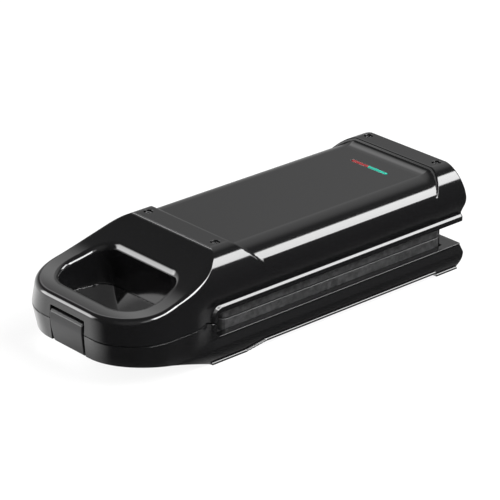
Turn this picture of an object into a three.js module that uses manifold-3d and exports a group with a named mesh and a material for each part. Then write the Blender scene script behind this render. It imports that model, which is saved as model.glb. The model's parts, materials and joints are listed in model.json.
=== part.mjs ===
// Churro maker: a hinged pair of moulded housings with a loop handle at the front, two cast baking
// plates with four ribbed star grooves each, and what heats, joins, latches and carries them.
// Millimetres, +Z up. The origin is the middle of the outline on the surface that it stands on.
// The handle points to -Y, the hinge is at +Y.

import * as THREE from 'three';
import { mergeVertices } from 'three/addons/utils/BufferGeometryUtils.js';
import Module from 'manifold-3d';

const wasm = await Module();
wasm.setup();

// Overall sizes
const overallLength = 375.5;
const overallHeight = 93.7;
const lidWidth = 140;
const baseWidth = 136.8;
const noseWidth = 148;

// Housing walls and outline
const wall = 2.5;
const partingHeight = 42.6;
const partingGap = 0.3;
const noseCornerRadius = 45;
const rearCornerRadius = 2;
const noseCornerLimitShare = 0.85;
const noseDraft = 1.7;
const footProud = 1;
const baseBottomWidth = 121.2;
const baseWidestRise = 16.7;
const rimHeight = 24.5;
const lipHeight = 45.7;
const rimWidth = 128.4;
const lipBead = 1.1;
const lipBeadHeight = 4.8;
const underRimHeight = 1.7;
const shoulderRun = 26;
const shoulderRise = 26.2;
const shoulderPower = 1.65;

// Bands, the sunk panels between them and the slopes down to the handle
const handleLength = 107.8;
const frontBandLength = 20.2;
const rearBandLength = 19.5;
const panelSink = 4.6;
const panelRampLength = 13;
const panelFadeOut = 1;
const slopeStep = 1;
const noseTopHeight = 63.2;
const noseBottomHeight = 24.7;
const lidSlopePower = 2.3;
const slopeSpacingPower = 1.2;
const baseSlopeLength = 96;
const baseSlopePower = 2;
const baseBandLength = 36;
const baseRampLength = 18;
const rearFootBandLength = 26.5;

// Side gap between the housings, and how the seam runs into it
const gapDistance = 99;
const gapCornerRadius = 4;
const seamDropLength = 15;
const seamDrop = 6.1;
const blendLength = 20;
const bulkheadThickness = 3;

// Loop handle's opening
const handleBarWidth = 19.7;
const openingLength = 59;
const openingFrontWidth = 120.6;
const openingRearWidth = 96.6;
const openingFrontRadius = 24;
const openingRearRadius = 13;
const openingEdgeRadius = 3;
const openingDraft = 1.2;

// Baking plates
const plateSeamHeight = 32.4;
const plateWidth = 111;
const plateFrontMargin = 13;
const plateRearDistance = 15.2;
const plateThickness = 16;
const plateCornerRadius = 6;
const plateGap = 0.3;
const grooveCount = 4;
const groovePitch = 26.5;
const grooveRadius = 11.4;
const grooveRibDepth = 2.6;
const grooveLobes = 8;
const grooveEndMargin = 11;
const grooveTaper = 11;
const grooveTaperShares = [[0, 0.3], [0.2, 0.66], [0.55, 0.92], [1, 1]];

// Heaters, shields and what hangs on the backs of the plates
const heaterRadius = 3.2;
const heaterSpacing = 53;
const heaterStandOff = 0.6;
const heaterEndMargin = 30;
const heaterFrontMargin = 24;
const terminalPinRadius = 1.2;
const terminalPinLength = 8;
const shieldSheet = 0.8;
const shieldWidth = 99;
const shieldDepth = 5;
const shieldEndMargin = 20;
const fuseRadius = 1.8;
const fuseLength = 24;
const thermostatRadius = 8;
const thermostatHeight = 10;
const thermostatBaseWidth = 26;
const thermostatBaseHeight = 2;

// Inner frames that carry the plates
const deckThickness = 2.5;
const deckBelowRim = 1.2;
const plateClearance = 1;
const skirtThickness = 2;
const baseSkirtDepth = 11;
const lidSkirtDepth = 10.6;
const crossbarWidth = 12;
const crossbarThickness = 3;
const lugSize = 11;
const lugThickness = 2.5;
const bossRadius = 4.2;

// Case screws, in the bands of both housings
const screwSpacing = 81.8;
const frontScrewInset = 10.2;
const rearScrewInset = 8.7;
const screwRecessRadius = 4.4;
const screwRecessDepth = 3.4;
const screwPadRadius = 6.5;
const screwPadThickness = 2.4;
const screwHeadRadius = 3.5;
const screwHeadHeight = 1.6;
const screwShankRadius = 1.6;
const screwShankLength = 8;
const screwSlotWidth = 0.9;
const screwSlotDepth = 0.8;
const plateScrewHeadRadius = 3;
const plateScrewHeadHeight = 1.6;
const plateScrewShankRadius = 1.5;
const plateScrewShankLength = 8;

// Hinge
const hingeHeight = 36;
const hingeRadius = 5.8;
const hingeRearInset = 6.2;
const hingeLugWidth = 39;
const hingeEarWidth = 16;
const hingeSideGap = 0.5;
const hingePinRadius = 2;

// Latch
const latchWidth = 39.8;
const latchSideGap = 0.9;
const latchTopHeight = 51.8;
const latchTopGap = 2.2;
const latchThickness = 5.5;
const latchProud = 1;
const latchRecessDepth = 8;
const latchPinHeight = 48.2;
const latchPinInset = 3.6;
const latchPinRadius = 1.4;
const latchPinReach = 1.7;
const latchKnuckleRadius = 3.2;
const latchHookThickness = 1.5;
const latchHookReach = 3;
const latchChamfer = 2;

// Indicator lights
const slotLength = 42.5;
const slotWidth = 4.4;
const slotOffset = 2.7;
const slotRearDistance = 50;
const redShare = 0.47;
const lensHeight = 5;
const lensProud = 0.2;
const holderWidth = 10;
const holderDepth = 9;
const holderWall = 1.5;
const lampRadius = 2.2;

// Feet
const footRadius = 6;
const footThickness = 2.2;
const footFrontDistance = 102;
const footRearInset = 13.5;
const footSpacing = 104;

// Mains inlet
const glandHeight = 12.5;
const glandBore = 3.75;
const glandBarrelRadius = 6;
const glandFlangeRadius = 8;
const glandFlangeThickness = 1.5;
const glandPadRadius = 10.5;
const glandPadThickness = 3;
const terminalBlockLength = 12;
const terminalBlockWidth = 8;
const terminalBlockHeight = 11;

// Clearances and small values that many pieces share
const fit = 0.3;
const overrun = 2;
const cut = 200;
const mergeTolerance = 1e-4;

// Places worked out from the sizes above
const rearY = overallLength / 2;
const frontY = -overallLength / 2 + latchProud;
const baseZ = footProud;
const lidWidestZ = overallHeight - shoulderRise;
const baseWidestZ = baseZ + baseWidestRise;
const bandFrontY = frontY + handleLength;
const bandRearY = bandFrontY + frontBandLength;
const rearBandY = rearY - rearBandLength;
const panelZ = overallHeight - panelSink;
const gapY = frontY + gapDistance;
const blendY = gapY - blendLength;
const baseFlatY = frontY + baseSlopeLength;
const openingFrontY = frontY + handleBarWidth;
const openingRearY = openingFrontY + openingLength;
const plateRearY = rearY - plateRearDistance;
const plateFrontY = gapY + plateFrontMargin;
const plateMidY = (plateFrontY + plateRearY) / 2;
const baseDeckZ = rimHeight - deckBelowRim;
const lidDeckZ = lipHeight + deckBelowRim;
const deckWidth = rimWidth - 2 * wall - 2 * fit;
const hingeY = rearY - hingeRearInset;
const frontScrewY = bandFrontY + frontScrewInset;
const rearScrewY = rearY - rearScrewInset;
const hingePinReach = hingeLugWidth / 2 + hingeSideGap + hingeEarWidth;
const latchPinY = frontY + latchPinInset;
const latchPinHalf = latchWidth / 2 + latchSideGap + latchPinReach;
const slotY = rearY - slotRearDistance;
const slotStart = slotOffset - slotLength / 2 + fit;
const slotEnd = slotOffset + slotLength / 2 - fit;
const lensSplit = slotStart + (slotEnd - slotStart) * redShare;
const holderTop = panelZ + lensProud - lensHeight - fit;

// Turns a three.js geometry into a solid that can be joined and cut.
function solid(geometry) {
  const bare = geometry.index ? geometry.toNonIndexed() : geometry.clone();
  bare.deleteAttribute('normal');
  bare.deleteAttribute('uv');
  const merged = mergeVertices(bare, mergeTolerance);
  return new wasm.Manifold(new wasm.Mesh({
    numProp: 3,
    vertProperties: new Float32Array(merged.attributes.position.array),
    triVerts: new Uint32Array(merged.index.array),
  }));
}

// Turns a solid back into a three.js geometry.
function geometryOf(body) {
  const mesh = body.getMesh();
  const geometry = new THREE.BufferGeometry();
  geometry.setAttribute('position', new THREE.BufferAttribute(new Float32Array(mesh.vertProperties), 3));
  geometry.setIndex(new THREE.BufferAttribute(new Uint32Array(mesh.triVerts), 1));
  const flat = geometry.toNonIndexed();
  flat.computeVertexNormals();
  return flat;
}

// A solid skinned over rings of equally many points. The first and last rings are closed by caps,
// which are triangulated as seen along the axis.
function loft(sections, axis) {
  const seen = { y: (p) => new THREE.Vector2(p[2], p[0]), z: (p) => new THREE.Vector2(p[0], p[1]) }[axis];
  const along = 'xyz'.indexOf(axis);
  const clockwise = THREE.ShapeUtils.area(sections[0].map(seen)) < 0;
  const turned = sections.map((ring) => (clockwise ? [...ring].reverse() : ring));
  const descending = turned[0][0][along] > turned[turned.length - 1][0][along];
  const rings = descending ? turned.reverse() : turned;
  const indices = sideTriangles(rings);
  const capAt = (ring, start, flip) => {
    for (const [a, b, c] of THREE.ShapeUtils.triangulateShape(ring.map(seen), [])) {
      if (flip) indices.push(start + a, start + c, start + b);
      else indices.push(start + a, start + b, start + c);
    }
  };
  capAt(rings[0], 0, true);
  capAt(rings[rings.length - 1], (rings.length - 1) * rings[0].length, false);
  return solid(ringGeometry(rings, indices));
}

// The triangles between neighbouring rings, and a geometry over the rings' points.
function sideTriangles(rings) {
  const count = rings[0].length;
  const indices = [];
  for (let r = 0; r + 1 < rings.length; r++) {
    for (let i = 0; i < count; i++) {
      const a = r * count + i;
      const b = r * count + (i + 1) % count;
      indices.push(a, b, b + count, a, b + count, a + count);
    }
  }
  return indices;
}
function ringGeometry(rings, indices) {
  const geometry = new THREE.BufferGeometry();
  geometry.setAttribute('position', new THREE.BufferAttribute(new Float32Array(rings.flat().flat()), 3));
  geometry.setIndex(indices);
  return geometry;
}

// An outline extruded along X, its points given as [y, z].
function prismX(points, fromX, toX) {
  const shape = new THREE.Shape(points.map(([y, z]) => new THREE.Vector2(y, z)));
  const geometry = new THREE.ExtrudeGeometry(shape, { depth: toX - fromX, bevelEnabled: false });
  geometry.applyMatrix4(new THREE.Matrix4().makeBasis(
    new THREE.Vector3(0, 1, 0), new THREE.Vector3(0, 0, 1), new THREE.Vector3(1, 0, 0)));
  geometry.translate(fromX, 0, 0);
  return solid(geometry);
}

// An outline extruded along Z, its points given as [x, y].
function prismZ(points, fromZ, toZ) {
  const shape = new THREE.Shape(points.map(([x, y]) => new THREE.Vector2(x, y)));
  const geometry = new THREE.ExtrudeGeometry(shape, { depth: toZ - fromZ, bevelEnabled: false });
  geometry.translate(0, 0, fromZ);
  return solid(geometry);
}

// A box between two corners.
function box(fromX, toX, fromY, toY, fromZ, toZ) {
  const geometry = new THREE.BoxGeometry(toX - fromX, toY - fromY, toZ - fromZ);
  geometry.translate((fromX + toX) / 2, (fromY + toY) / 2, (fromZ + toZ) / 2);
  return solid(geometry);
}

// A round bar along an axis, between two places on it, through the point [x, y, z].
function bar(axis, radius, from, to, centre, sides = 20) {
  const geometry = new THREE.CylinderGeometry(radius, radius, to - from, sides);
  const middle = [...centre];
  if (axis === 'x') geometry.rotateZ(Math.PI / 2);
  if (axis === 'z') geometry.rotateX(Math.PI / 2);
  middle['xyz'.indexOf(axis)] = (from + to) / 2;
  geometry.translate(...middle);
  return solid(geometry);
}

const ordered = (a, b) => [Math.min(a, b), Math.max(a, b)];
const joined = (...bodies) => bodies.reduce((all, body) => all.add(body));
const less = (first, ...cutters) => cutters.reduce((left, cutter) => left.subtract(cutter), first);

// The points of an outline with rounded corners. Each corner is { x, y, radius }.
function roundedOutline(corners, steps) {
  const points = [];
  corners.forEach((corner, i) => {
    const here = new THREE.Vector2(corner.x, corner.y);
    const before = corners[(i + corners.length - 1) % corners.length];
    const after = corners[(i + 1) % corners.length];
    const toBefore = new THREE.Vector2(before.x, before.y).sub(here).normalize();
    const toAfter = new THREE.Vector2(after.x, after.y).sub(here).normalize();
    const half = Math.acos(THREE.MathUtils.clamp(toBefore.dot(toAfter), -1, 1)) / 2;
    const middle = toBefore.clone().add(toAfter).normalize().multiplyScalar(corner.radius / Math.sin(half));
    const centre = here.clone().add(middle);
    const start = here.clone().addScaledVector(toBefore, corner.radius / Math.tan(half)).sub(centre);
    const turn = Math.PI - 2 * half;
    for (let k = 0; k <= steps; k++) {
      const spoke = start.clone().rotateAround(new THREE.Vector2(), turn * k / steps);
      points.push([centre.x + spoke.x, centre.y + spoke.y]);
    }
  });
  return points;
}

function roundedRectangle(halfX, fromY, toY, radius, steps = 4) {
  return roundedOutline([
    { x: -halfX, y: fromY, radius },
    { x: halfX, y: fromY, radius },
    { x: halfX, y: toY, radius },
    { x: -halfX, y: toY, radius },
  ], steps);
}

// Half the handle's width at a height: widest at the seam, with draft to both sides.
function noseHalfAt(z) {
  const side = z > partingHeight
    ? THREE.MathUtils.clamp((z - partingHeight) / (lidWidestZ - partingHeight), 0, 1)
    : THREE.MathUtils.clamp((partingHeight - z) / (partingHeight - baseWidestZ), 0, 1);
  const end = z > partingHeight ? lidWidth : baseWidth;
  return (noseWidth + (end - noseWidth) * side) / 2;
}

// Levels of the closed body from its bottom to its top, each with its height and half width.
function bodyLevels(inset) {
  const rimHalf = rimWidth / 2 - inset;
  const levels = [];
  const flankSteps = inset > 0 ? 2 : 4;
  for (let i = 0; i <= flankSteps; i++) {
    const share = i / flankSteps;
    const half = (baseBottomWidth + (baseWidth - baseBottomWidth) * Math.sin(Math.PI / 2 * share)) / 2;
    levels.push([baseZ + inset + (baseWidestZ - baseZ - inset) * share, half - inset]);
  }
  levels.push([rimHeight - underRimHeight, rimHalf]);
  levels.push([partingHeight, rimHalf]);
  levels.push([lipHeight, rimHalf]);
  if (inset === 0) {
    const beadSteps = 4;
    for (let i = 1; i < beadSteps; i++) {
      const bulge = lipBead * Math.sin(Math.PI * i / beadSteps);
      levels.push([lipHeight + lipBeadHeight * i / beadSteps, rimHalf + bulge]);
    }
  }
  const flankPower = 1.5;
  for (let i = 0; i <= flankSteps; i++) {
    const share = i / flankSteps;
    const swell = Math.sin(Math.PI / 2 * share) ** flankPower;
    const z = lipHeight + lipBeadHeight + (lidWidestZ - lipHeight - lipBeadHeight) * share;
    levels.push([z, rimHalf + (lidWidth / 2 - inset - rimHalf) * swell]);
  }
  const flatHalf = lidWidth / 2 - shoulderRun;
  const shoulderSteps = inset > 0 ? 5 : 8;
  for (let i = 1; i <= shoulderSteps; i++) {
    const [run, rise] = shoulderPoint(i / shoulderSteps, shoulderRun - inset, shoulderRise - inset);
    levels.push([lidWidestZ + rise, flatHalf + run]);
  }
  return levels;
}

// A point of the shoulder's curve, from the widest place at 0 to the flat top at 1.
function shoulderPoint(share, run, rise) {
  const angle = Math.PI / 2 * share;
  return [run * Math.cos(angle) ** (2 / shoulderPower), rise * Math.sin(angle) ** (2 / shoulderPower)];
}

// One level of the body's plan: the handle's round nose, the blend beside the front end of the side
// gap, and the long straight sides.
function planRing(z, bodyHalf, inset) {
  const follows = z > lidWidestZ || z < baseWidestZ;
  const noseHalf = follows ? bodyHalf : noseHalfAt(z) - inset;
  const drop = z > partingHeight ? z - partingHeight : partingHeight - z;
  const front = frontY + inset + noseDraft * Math.min(1, drop / (noseTopHeight - partingHeight));
  const radius = Math.min(noseCornerRadius - inset, noseHalf * noseCornerLimitShare);
  const half = [];
  const cornerSteps = inset > 0 ? 4 : 7;
  for (let i = 0; i <= cornerSteps; i++) {
    const angle = Math.PI / 2 * i / cornerSteps;
    half.push([noseHalf - radius + radius * Math.sin(angle), front + radius - radius * Math.cos(angle)]);
  }
  const blendSteps = inset > 0 ? 2 : 5;
  for (let i = 0; i <= blendSteps; i++) {
    const share = i / blendSteps;
    const eased = share * share * (3 - 2 * share);
    half.push([noseHalf + (bodyHalf - noseHalf) * eased, blendY + (gapY - blendY) * share]);
  }
  const rear = rearY - inset;
  const rearSteps = 2;
  const rearRadius = Math.max(rearCornerRadius - inset, fit);
  for (let i = 0; i <= rearSteps; i++) {
    const angle = Math.PI / 2 * i / rearSteps;
    const backOf = rearRadius * (1 - Math.sin(angle));
    half.push([bodyHalf - rearRadius * (1 - Math.cos(angle)), rear - backOf]);
  }
  const mirrored = half.map(([x, y]) => [-x, y]).reverse();
  return [...half, ...mirrored].map(([x, y]) => [x, y, z]);
}

// The whole closed body, before the slopes, panels and the seam cut it.
function bodyLoft(inset) {
  return loft(bodyLevels(inset).map(([z, half]) => planRing(z, half, inset)), 'z');
}

// Height of the lid's slope at a place along the handle, and of the base's slope under it.
function lidSlopeZ(y) {
  const share = THREE.MathUtils.clamp((bandFrontY - y) / (bandFrontY - frontY), 0, 1);
  return noseTopHeight + (overallHeight - slopeStep - noseTopHeight) * (1 - share) ** lidSlopePower;
}
function baseSlopeZ(y) {
  const share = THREE.MathUtils.clamp((baseFlatY - y) / (baseFlatY - frontY), 0, 1);
  return noseBottomHeight - (noseBottomHeight - baseZ) * (1 - share) ** baseSlopePower;
}

// What lies under the lid's top, seen from the side.
function underLidTop(inset) {
  const steps = inset > 0 ? 7 : 14;
  const points = [[frontY - overrun, -overrun]];
  points.push([rearY + overrun, -overrun]);
  points.push([rearY + overrun, overallHeight + overrun]);
  points.push([bandFrontY + inset, overallHeight + overrun]);
  for (let i = 0; i <= steps; i++) {
    const share = (i / steps) ** slopeSpacingPower;
    const y = bandFrontY + inset - (bandFrontY - frontY) * share;
    points.push([y, lidSlopeZ(y - inset) - inset]);
  }
  points.push([frontY - overrun, noseTopHeight - inset]);
  return prismX(points, -cut, cut);
}

// What lies over the base's bottom, seen from the side.
function overBaseBottom(inset) {
  const steps = inset > 0 ? 6 : 11;
  const points = [[rearY + overrun, baseZ + inset]];
  points.push([rearY + overrun, overallHeight + overrun]);
  points.push([frontY - overrun, overallHeight + overrun]);
  points.push([frontY - overrun, noseBottomHeight + inset]);
  for (let i = steps; i >= 0; i--) {
    const y = baseFlatY - (baseFlatY - frontY) * (i / steps) ** slopeSpacingPower;
    points.push([y, baseSlopeZ(y) + inset]);
  }
  const rampY = baseFlatY + baseBandLength;
  points.push([rampY - inset, baseZ + inset]);
  points.push([rampY - inset + baseRampLength, baseZ + panelSink + inset]);
  points.push([rearY - rearFootBandLength - panelSink, baseZ + panelSink + inset]);
  points.push([rearY - rearFootBandLength + inset, baseZ + inset]);
  return prismX(points, -cut, cut);
}

// The space over the lid's sunk panel: a 45 degree step at the front band and a hollow ramp at the
// rear band. It runs out on the lower part of the shoulders.
function overPanel(inset) {
  const low = lidWidestZ;
  const high = overallHeight + overrun;
  const block = prismX([
    [bandRearY - inset - overrun, high],
    [bandRearY - inset + overallHeight - low, low],
    [rearBandY, low],
    [rearBandY, high],
  ], -cut, cut);
  const rings = [];
  const section = (y, sink) => {
    const flatHalf = lidWidth / 2 - shoulderRun;
    const run = shoulderRun - inset + panelFadeOut;
    const rise = shoulderRise - inset - sink;
    const half = [[flatHalf + run, low - overrun]];
    const steps = inset > 0 ? 5 : 8;
    for (let i = 0; i <= steps; i++) {
      const [dx, dz] = shoulderPoint(i / steps, run, rise);
      half.push([flatHalf + dx, low + dz]);
    }
    const mirrored = half.map(([x, z]) => [-x, z]).reverse();
    return [...half, ...mirrored].map(([x, z]) => [x, y, z]);
  };
  rings.push(section(bandFrontY, panelSink));
  const rampSteps = inset > 0 ? 3 : 6;
  for (let i = 0; i <= rampSteps; i++) {
    const share = Math.sin(Math.PI / 2 * i / rampSteps);
    const left = Math.cos(Math.PI / 2 * i / rampSteps);
    rings.push(section(rearBandY - panelRampLength * (1 - share), panelSink * left));
  }
  rings.push(section(rearY + overrun, 0));
  return block.subtract(loft(rings, 'y'));
}

// The seam between the housings, seen from the side: along the handle, down into the side gap, and
// open from there to the rear.
function seamLine(side) {
  const edge = partingHeight + side * partingGap / 2;
  const points = [[frontY - overrun, edge], [gapY - seamDropLength, edge], [gapY, edge - seamDrop]];
  const corner = side > 0 ? lipHeight : rimHeight;
  const steps = 4;
  for (let i = 0; i <= steps; i++) {
    const angle = Math.PI / 2 * i / steps;
    points.push([gapY + gapCornerRadius * (1 - Math.cos(angle)),
      corner - side * gapCornerRadius * (1 - Math.sin(angle))]);
  }
  points.push([rearY + overrun, corner]);
  return points;
}
function lidSide() {
  return prismX([...seamLine(1), [rearY + overrun, cut], [frontY - overrun, cut]], -cut, cut);
}
function baseSide() {
  return prismX([...seamLine(-1).reverse(), [frontY - overrun, -cut], [rearY + overrun, -cut]], -cut, cut);
}

// The opening's outline, moved outward by a distance.
function openingOutline(offset) {
  const front = openingFrontY - offset;
  const rear = openingRearY + offset;
  const slant = (openingFrontWidth - openingRearWidth) / 2 / openingLength;
  const sideways = offset * Math.hypot(1, slant);
  const frontHalf = openingFrontWidth / 2 + sideways + slant * offset;
  const rearHalf = openingRearWidth / 2 + sideways - slant * offset;
  return roundedOutline([
    { x: -frontHalf, y: front, radius: openingFrontRadius + offset },
    { x: frontHalf, y: front, radius: openingFrontRadius + offset },
    { x: rearHalf, y: rear, radius: openingRearRadius + offset },
    { x: -rearHalf, y: rear, radius: openingRearRadius + offset },
  ], 6);
}

// The opening through both housings, drafted to the seam, its edges rolled over.
function openingCutter() {
  const ring = (offset, height) => openingOutline(offset).map(([x, y]) => [x, y, height(y)]);
  const rings = [ring(openingEdgeRadius + overrun, () => -overrun)];
  const steps = 3;
  for (let i = steps; i >= 0; i--) {
    const angle = Math.PI / 2 * i / steps;
    const offset = openingEdgeRadius * (1 - Math.cos(angle));
    rings.push(ring(offset, (y) => baseSlopeZ(y) + openingEdgeRadius * (1 - Math.sin(angle))));
  }
  rings.push(ring(-openingDraft, () => partingHeight));
  for (let i = 0; i <= steps; i++) {
    const angle = Math.PI / 2 * i / steps;
    const offset = openingEdgeRadius * (1 - Math.cos(angle));
    rings.push(ring(offset, (y) => lidSlopeZ(y) - openingEdgeRadius * (1 - Math.sin(angle))));
  }
  rings.push(ring(openingEdgeRadius + overrun, () => overallHeight + overrun));
  return loft(rings, 'z');
}
function openingWalls() {
  return prismZ(openingOutline(wall), -overrun, overallHeight + overrun);
}

// The recess in the front of both housings that the latch lies in, and the walls round it.
function latchRecess(extra) {
  const half = latchWidth / 2 + latchSideGap + extra;
  return box(-half, half, frontY - overrun, frontY + latchRecessDepth + extra,
    -overrun, latchTopHeight + latchTopGap + extra);
}

// Screw places of one housing: front pair and rear pair.
const screwPlaces = [
  [-screwSpacing / 2, frontScrewY], [screwSpacing / 2, frontScrewY],
  [-screwSpacing / 2, rearScrewY], [screwSpacing / 2, rearScrewY],
];
const footPlaces = [
  [-footSpacing / 2, frontY + footFrontDistance], [footSpacing / 2, frontY + footFrontDistance],
  [-footSpacing / 2, rearY - footRearInset], [footSpacing / 2, rearY - footRearInset],
];

// The inside of a housing, open towards the seam.
function hollow(limits) {
  const inside = limits.reduce((left, limit) => left.intersect(limit), bodyLoft(wall));
  return less(inside, openingWalls(), latchRecess(wall),
    box(-cut, cut, gapY - bulkheadThickness, gapY, -cut, cut));
}

const opening = openingCutter();

function upperHousing() {
  const outer = less(bodyLoft(0).intersect(underLidTop(0)), overPanel(0)).intersect(lidSide());
  const inner = less(hollow([underLidTop(wall)]), overPanel(wall));
  const belowTop = screwRecessDepth + screwPadThickness;
  const pads = screwPlaces.map(([x, y]) =>
    bar('z', screwPadRadius, overallHeight - belowTop, overallHeight - wall + fit, [x, y, 0]));
  const recesses = screwPlaces.map(([x, y]) => joined(
    bar('z', screwRecessRadius, overallHeight - screwRecessDepth, overallHeight + overrun, [x, y, 0]),
    bar('z', screwShankRadius + fit, overallHeight - belowTop - overrun, overallHeight, [x, y, 0], 12)));
  const lug = joined(
    bar('x', hingeRadius, -hingeLugWidth / 2, hingeLugWidth / 2, [0, hingeY, hingeHeight], 24),
    box(-hingeLugWidth / 2, hingeLugWidth / 2, hingeY - hingeRadius, hingeY + hingeRadius,
      hingeHeight, lipHeight + hingeRadius),
    box(-hingeLugWidth / 2, hingeLugWidth / 2, hingeY - hingeRadius, rearY - wall / 2,
      lipHeight, lipHeight + hingeRadius));
  const slot = box(slotOffset - slotLength / 2, slotOffset + slotLength / 2,
    rearY - slotRearDistance - slotWidth / 2, rearY - slotRearDistance + slotWidth / 2,
    panelZ - wall - overrun, panelZ + overrun);
  const shell = joined(less(outer, inner), ...pads, lug);
  return less(shell, opening, latchRecess(0), slot, ...recesses, latchPinBore(), hingeBore());
}

function lowerHousing() {
  const outer = bodyLoft(0).intersect(overBaseBottom(0)).intersect(baseSide());
  const inner = hollow([overBaseBottom(wall)]);
  const padTop = baseZ + screwRecessDepth + screwPadThickness - fit;
  const pads = screwPlaces.map(([x, y]) =>
    bar('z', screwPadRadius, baseZ + wall - fit, padTop, [x, y, 0]));
  const recesses = screwPlaces.map(([x, y]) => joined(
    bar('z', screwRecessRadius, baseZ - overrun, baseZ + screwRecessDepth, [x, y, 0]),
    bar('z', screwShankRadius + fit, baseZ, padTop + overrun, [x, y, 0], 12)));
  const pockets = footPlaces.map(([x, y]) =>
    bar('z', footRadius + fit, baseZ - overrun, footThickness + fit, [x, y, 0]));
  const earStart = hingeLugWidth / 2 + hingeSideGap;
  const ears = [-1, 1].map((side) => {
    const from = side > 0 ? earStart : -earStart - hingeEarWidth;
    const to = from + hingeEarWidth;
    return joined(
      bar('x', hingeRadius, from, to, [0, hingeY, hingeHeight], 24),
      box(from, to, hingeY - hingeRadius, hingeY + hingeRadius, rimHeight - hingeRadius, hingeHeight),
      box(from, to, hingeY - hingeRadius, rearY - wall / 2, rimHeight - 2 * hingeRadius, rimHeight));
  });
  const padFace = rearY - wall - glandPadThickness;
  const glandMiddle = [0, 0, glandHeight];
  const glandPad = bar('y', glandPadRadius, padFace, rearY - wall / 2, glandMiddle);
  const glandHole = joined(
    bar('y', glandFlangeRadius + fit, rearY - glandFlangeThickness - fit, rearY + overrun, glandMiddle),
    bar('y', glandBarrelRadius + fit, padFace - overrun, rearY, glandMiddle));
  const shell = joined(less(outer, inner), ...pads, ...ears,
    glandPad.intersect(box(-cut, cut, -cut, cut, baseZ + wall / 2, rimHeight)));
  return less(shell, opening, latchRecess(0), ...recesses, ...pockets, glandHole, hingeBore());
}

function hingeBore() {
  const reach = hingePinReach + fit;
  return bar('x', hingePinRadius + fit, -reach, reach, [0, hingeY, hingeHeight]);
}
function hingePin() {
  return bar('x', hingePinRadius, -hingePinReach, hingePinReach, [0, hingeY, hingeHeight]);
}

// One inner frame: a deck round the plate, a skirt behind it, lugs that the plate is screwed to, a
// crossbar and bosses for the case screws. side is 1 for the lid and -1 for the base.
function innerFrame(side) {
  const deckFace = side > 0 ? lidDeckZ : baseDeckZ;
  const back = deckFace + side * deckThickness;
  const skirtEnd = deckFace + side * (deckThickness + (side > 0 ? lidSkirtDepth : baseSkirtDepth));
  const rearEdge = rearY - wall - fit;
  const slab = (fromX, toX, fromY, toY, fromZ, toZ) => box(fromX, toX, fromY, toY, ...ordered(fromZ, toZ));
  const pocketHalf = plateWidth / 2 + plateClearance;
  const pocket = [plateFrontY - plateClearance, plateRearY + plateClearance];
  const low = Math.min(deckFace, skirtEnd) - overrun;
  const high = Math.max(deckFace, skirtEnd) + overrun;
  const deck = slab(-deckWidth / 2, deckWidth / 2, gapY + fit, rearEdge, deckFace, back);
  const skirt = slab(-pocketHalf - skirtThickness, pocketHalf + skirtThickness,
    pocket[0] - skirtThickness, pocket[1] + skirtThickness, deckFace, skirtEnd);
  const well = box(-pocketHalf, pocketHalf, pocket[0], pocket[1], low, high);
  const plateBack = plateSeamHeight + side * (plateGap / 2 + plateThickness);
  const lugFace = plateBack + side * fit;
  const lugs = plateScrewPlaces().map(([x, y]) => slab(
    Math.sign(x) * pocketHalf - (x > 0 ? lugSize : 0), Math.sign(x) * pocketHalf + (x > 0 ? 0 : lugSize),
    Math.max(y - lugSize / 2, pocket[0]), Math.min(y + lugSize / 2, pocket[1]),
    lugFace, lugFace + side * lugThickness));
  const lugHoles = plateScrewPlaces().map(([x, y]) =>
    bar('z', plateScrewShankRadius + fit, low, high, [x, y, 0], 10));
  const bossEnd = caseBossEnd(side);
  const crossbar = slab(-pocketHalf - skirtThickness, pocketHalf + skirtThickness,
    frontScrewY - crossbarWidth / 2, frontScrewY + crossbarWidth / 2,
    skirtEnd, skirtEnd + side * crossbarThickness);
  const bosses = screwPlaces.map(([x, y]) => {
    const start = y < 0 ? skirtEnd + side * fit : back - side * fit;
    return bar('z', bossRadius, ...ordered(start, bossEnd), [x, y, 0], 14);
  });
  const bossHoles = screwPlaces.map(([x, y]) => {
    const deep = bossEnd - side * (screwShankLength - screwPadThickness + fit);
    return bar('z', screwShankRadius + fit, ...ordered(deep, bossEnd + side * overrun), [x, y, 0], 10);
  });
  const notchHalf = hingeLugWidth / 2 + hingeSideGap + (side > 0 ? 0 : hingeEarWidth + hingeSideGap);
  const notch = box(-notchHalf, notchHalf, pocket[1] + skirtThickness, rearY, low, high);
  const body = less(joined(deck, skirt), well, notch);
  return less(joined(body, ...lugs, crossbar, ...bosses), ...lugHoles, ...bossHoles);
}

// Where the bosses for the case screws end, under the screw pads of a housing.
function caseBossEnd(side) {
  const pad = screwRecessDepth + screwPadThickness;
  return side > 0 ? overallHeight - pad - fit : baseZ + pad;
}

// The plate's own screws, near its corners.
function plateScrewPlaces() {
  const x = plateWidth / 2 - lugSize / 2;
  const y = [plateFrontY + lugSize / 2, plateRearY - lugSize / 2];
  return [[-x, y[0]], [x, y[0]], [-x, y[1]], [x, y[1]]];
}

// One ribbed groove as a full star, tapered at both ends.
function grooveStar(x) {
  const ring = (y, scale) => {
    const points = [];
    for (let i = 0; i < 2 * grooveLobes; i++) {
      const angle = Math.PI * (i + 1 / 2) / grooveLobes;
      const radius = scale * (i % 2 ? grooveRadius - grooveRibDepth : grooveRadius);
      points.push([x + radius * Math.cos(angle), y, plateSeamHeight - radius * Math.sin(angle)]);
    }
    return points;
  };
  const from = plateFrontY + grooveEndMargin;
  const to = plateRearY - grooveEndMargin;
  const taper = grooveTaperShares.map(([along, scale]) => [along * grooveTaper, scale]);
  return loft([
    ...taper.map(([along, scale]) => ring(from + along, scale)),
    ...taper.map(([along, scale]) => ring(to - along, scale)).reverse(),
  ], 'y');
}

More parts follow.
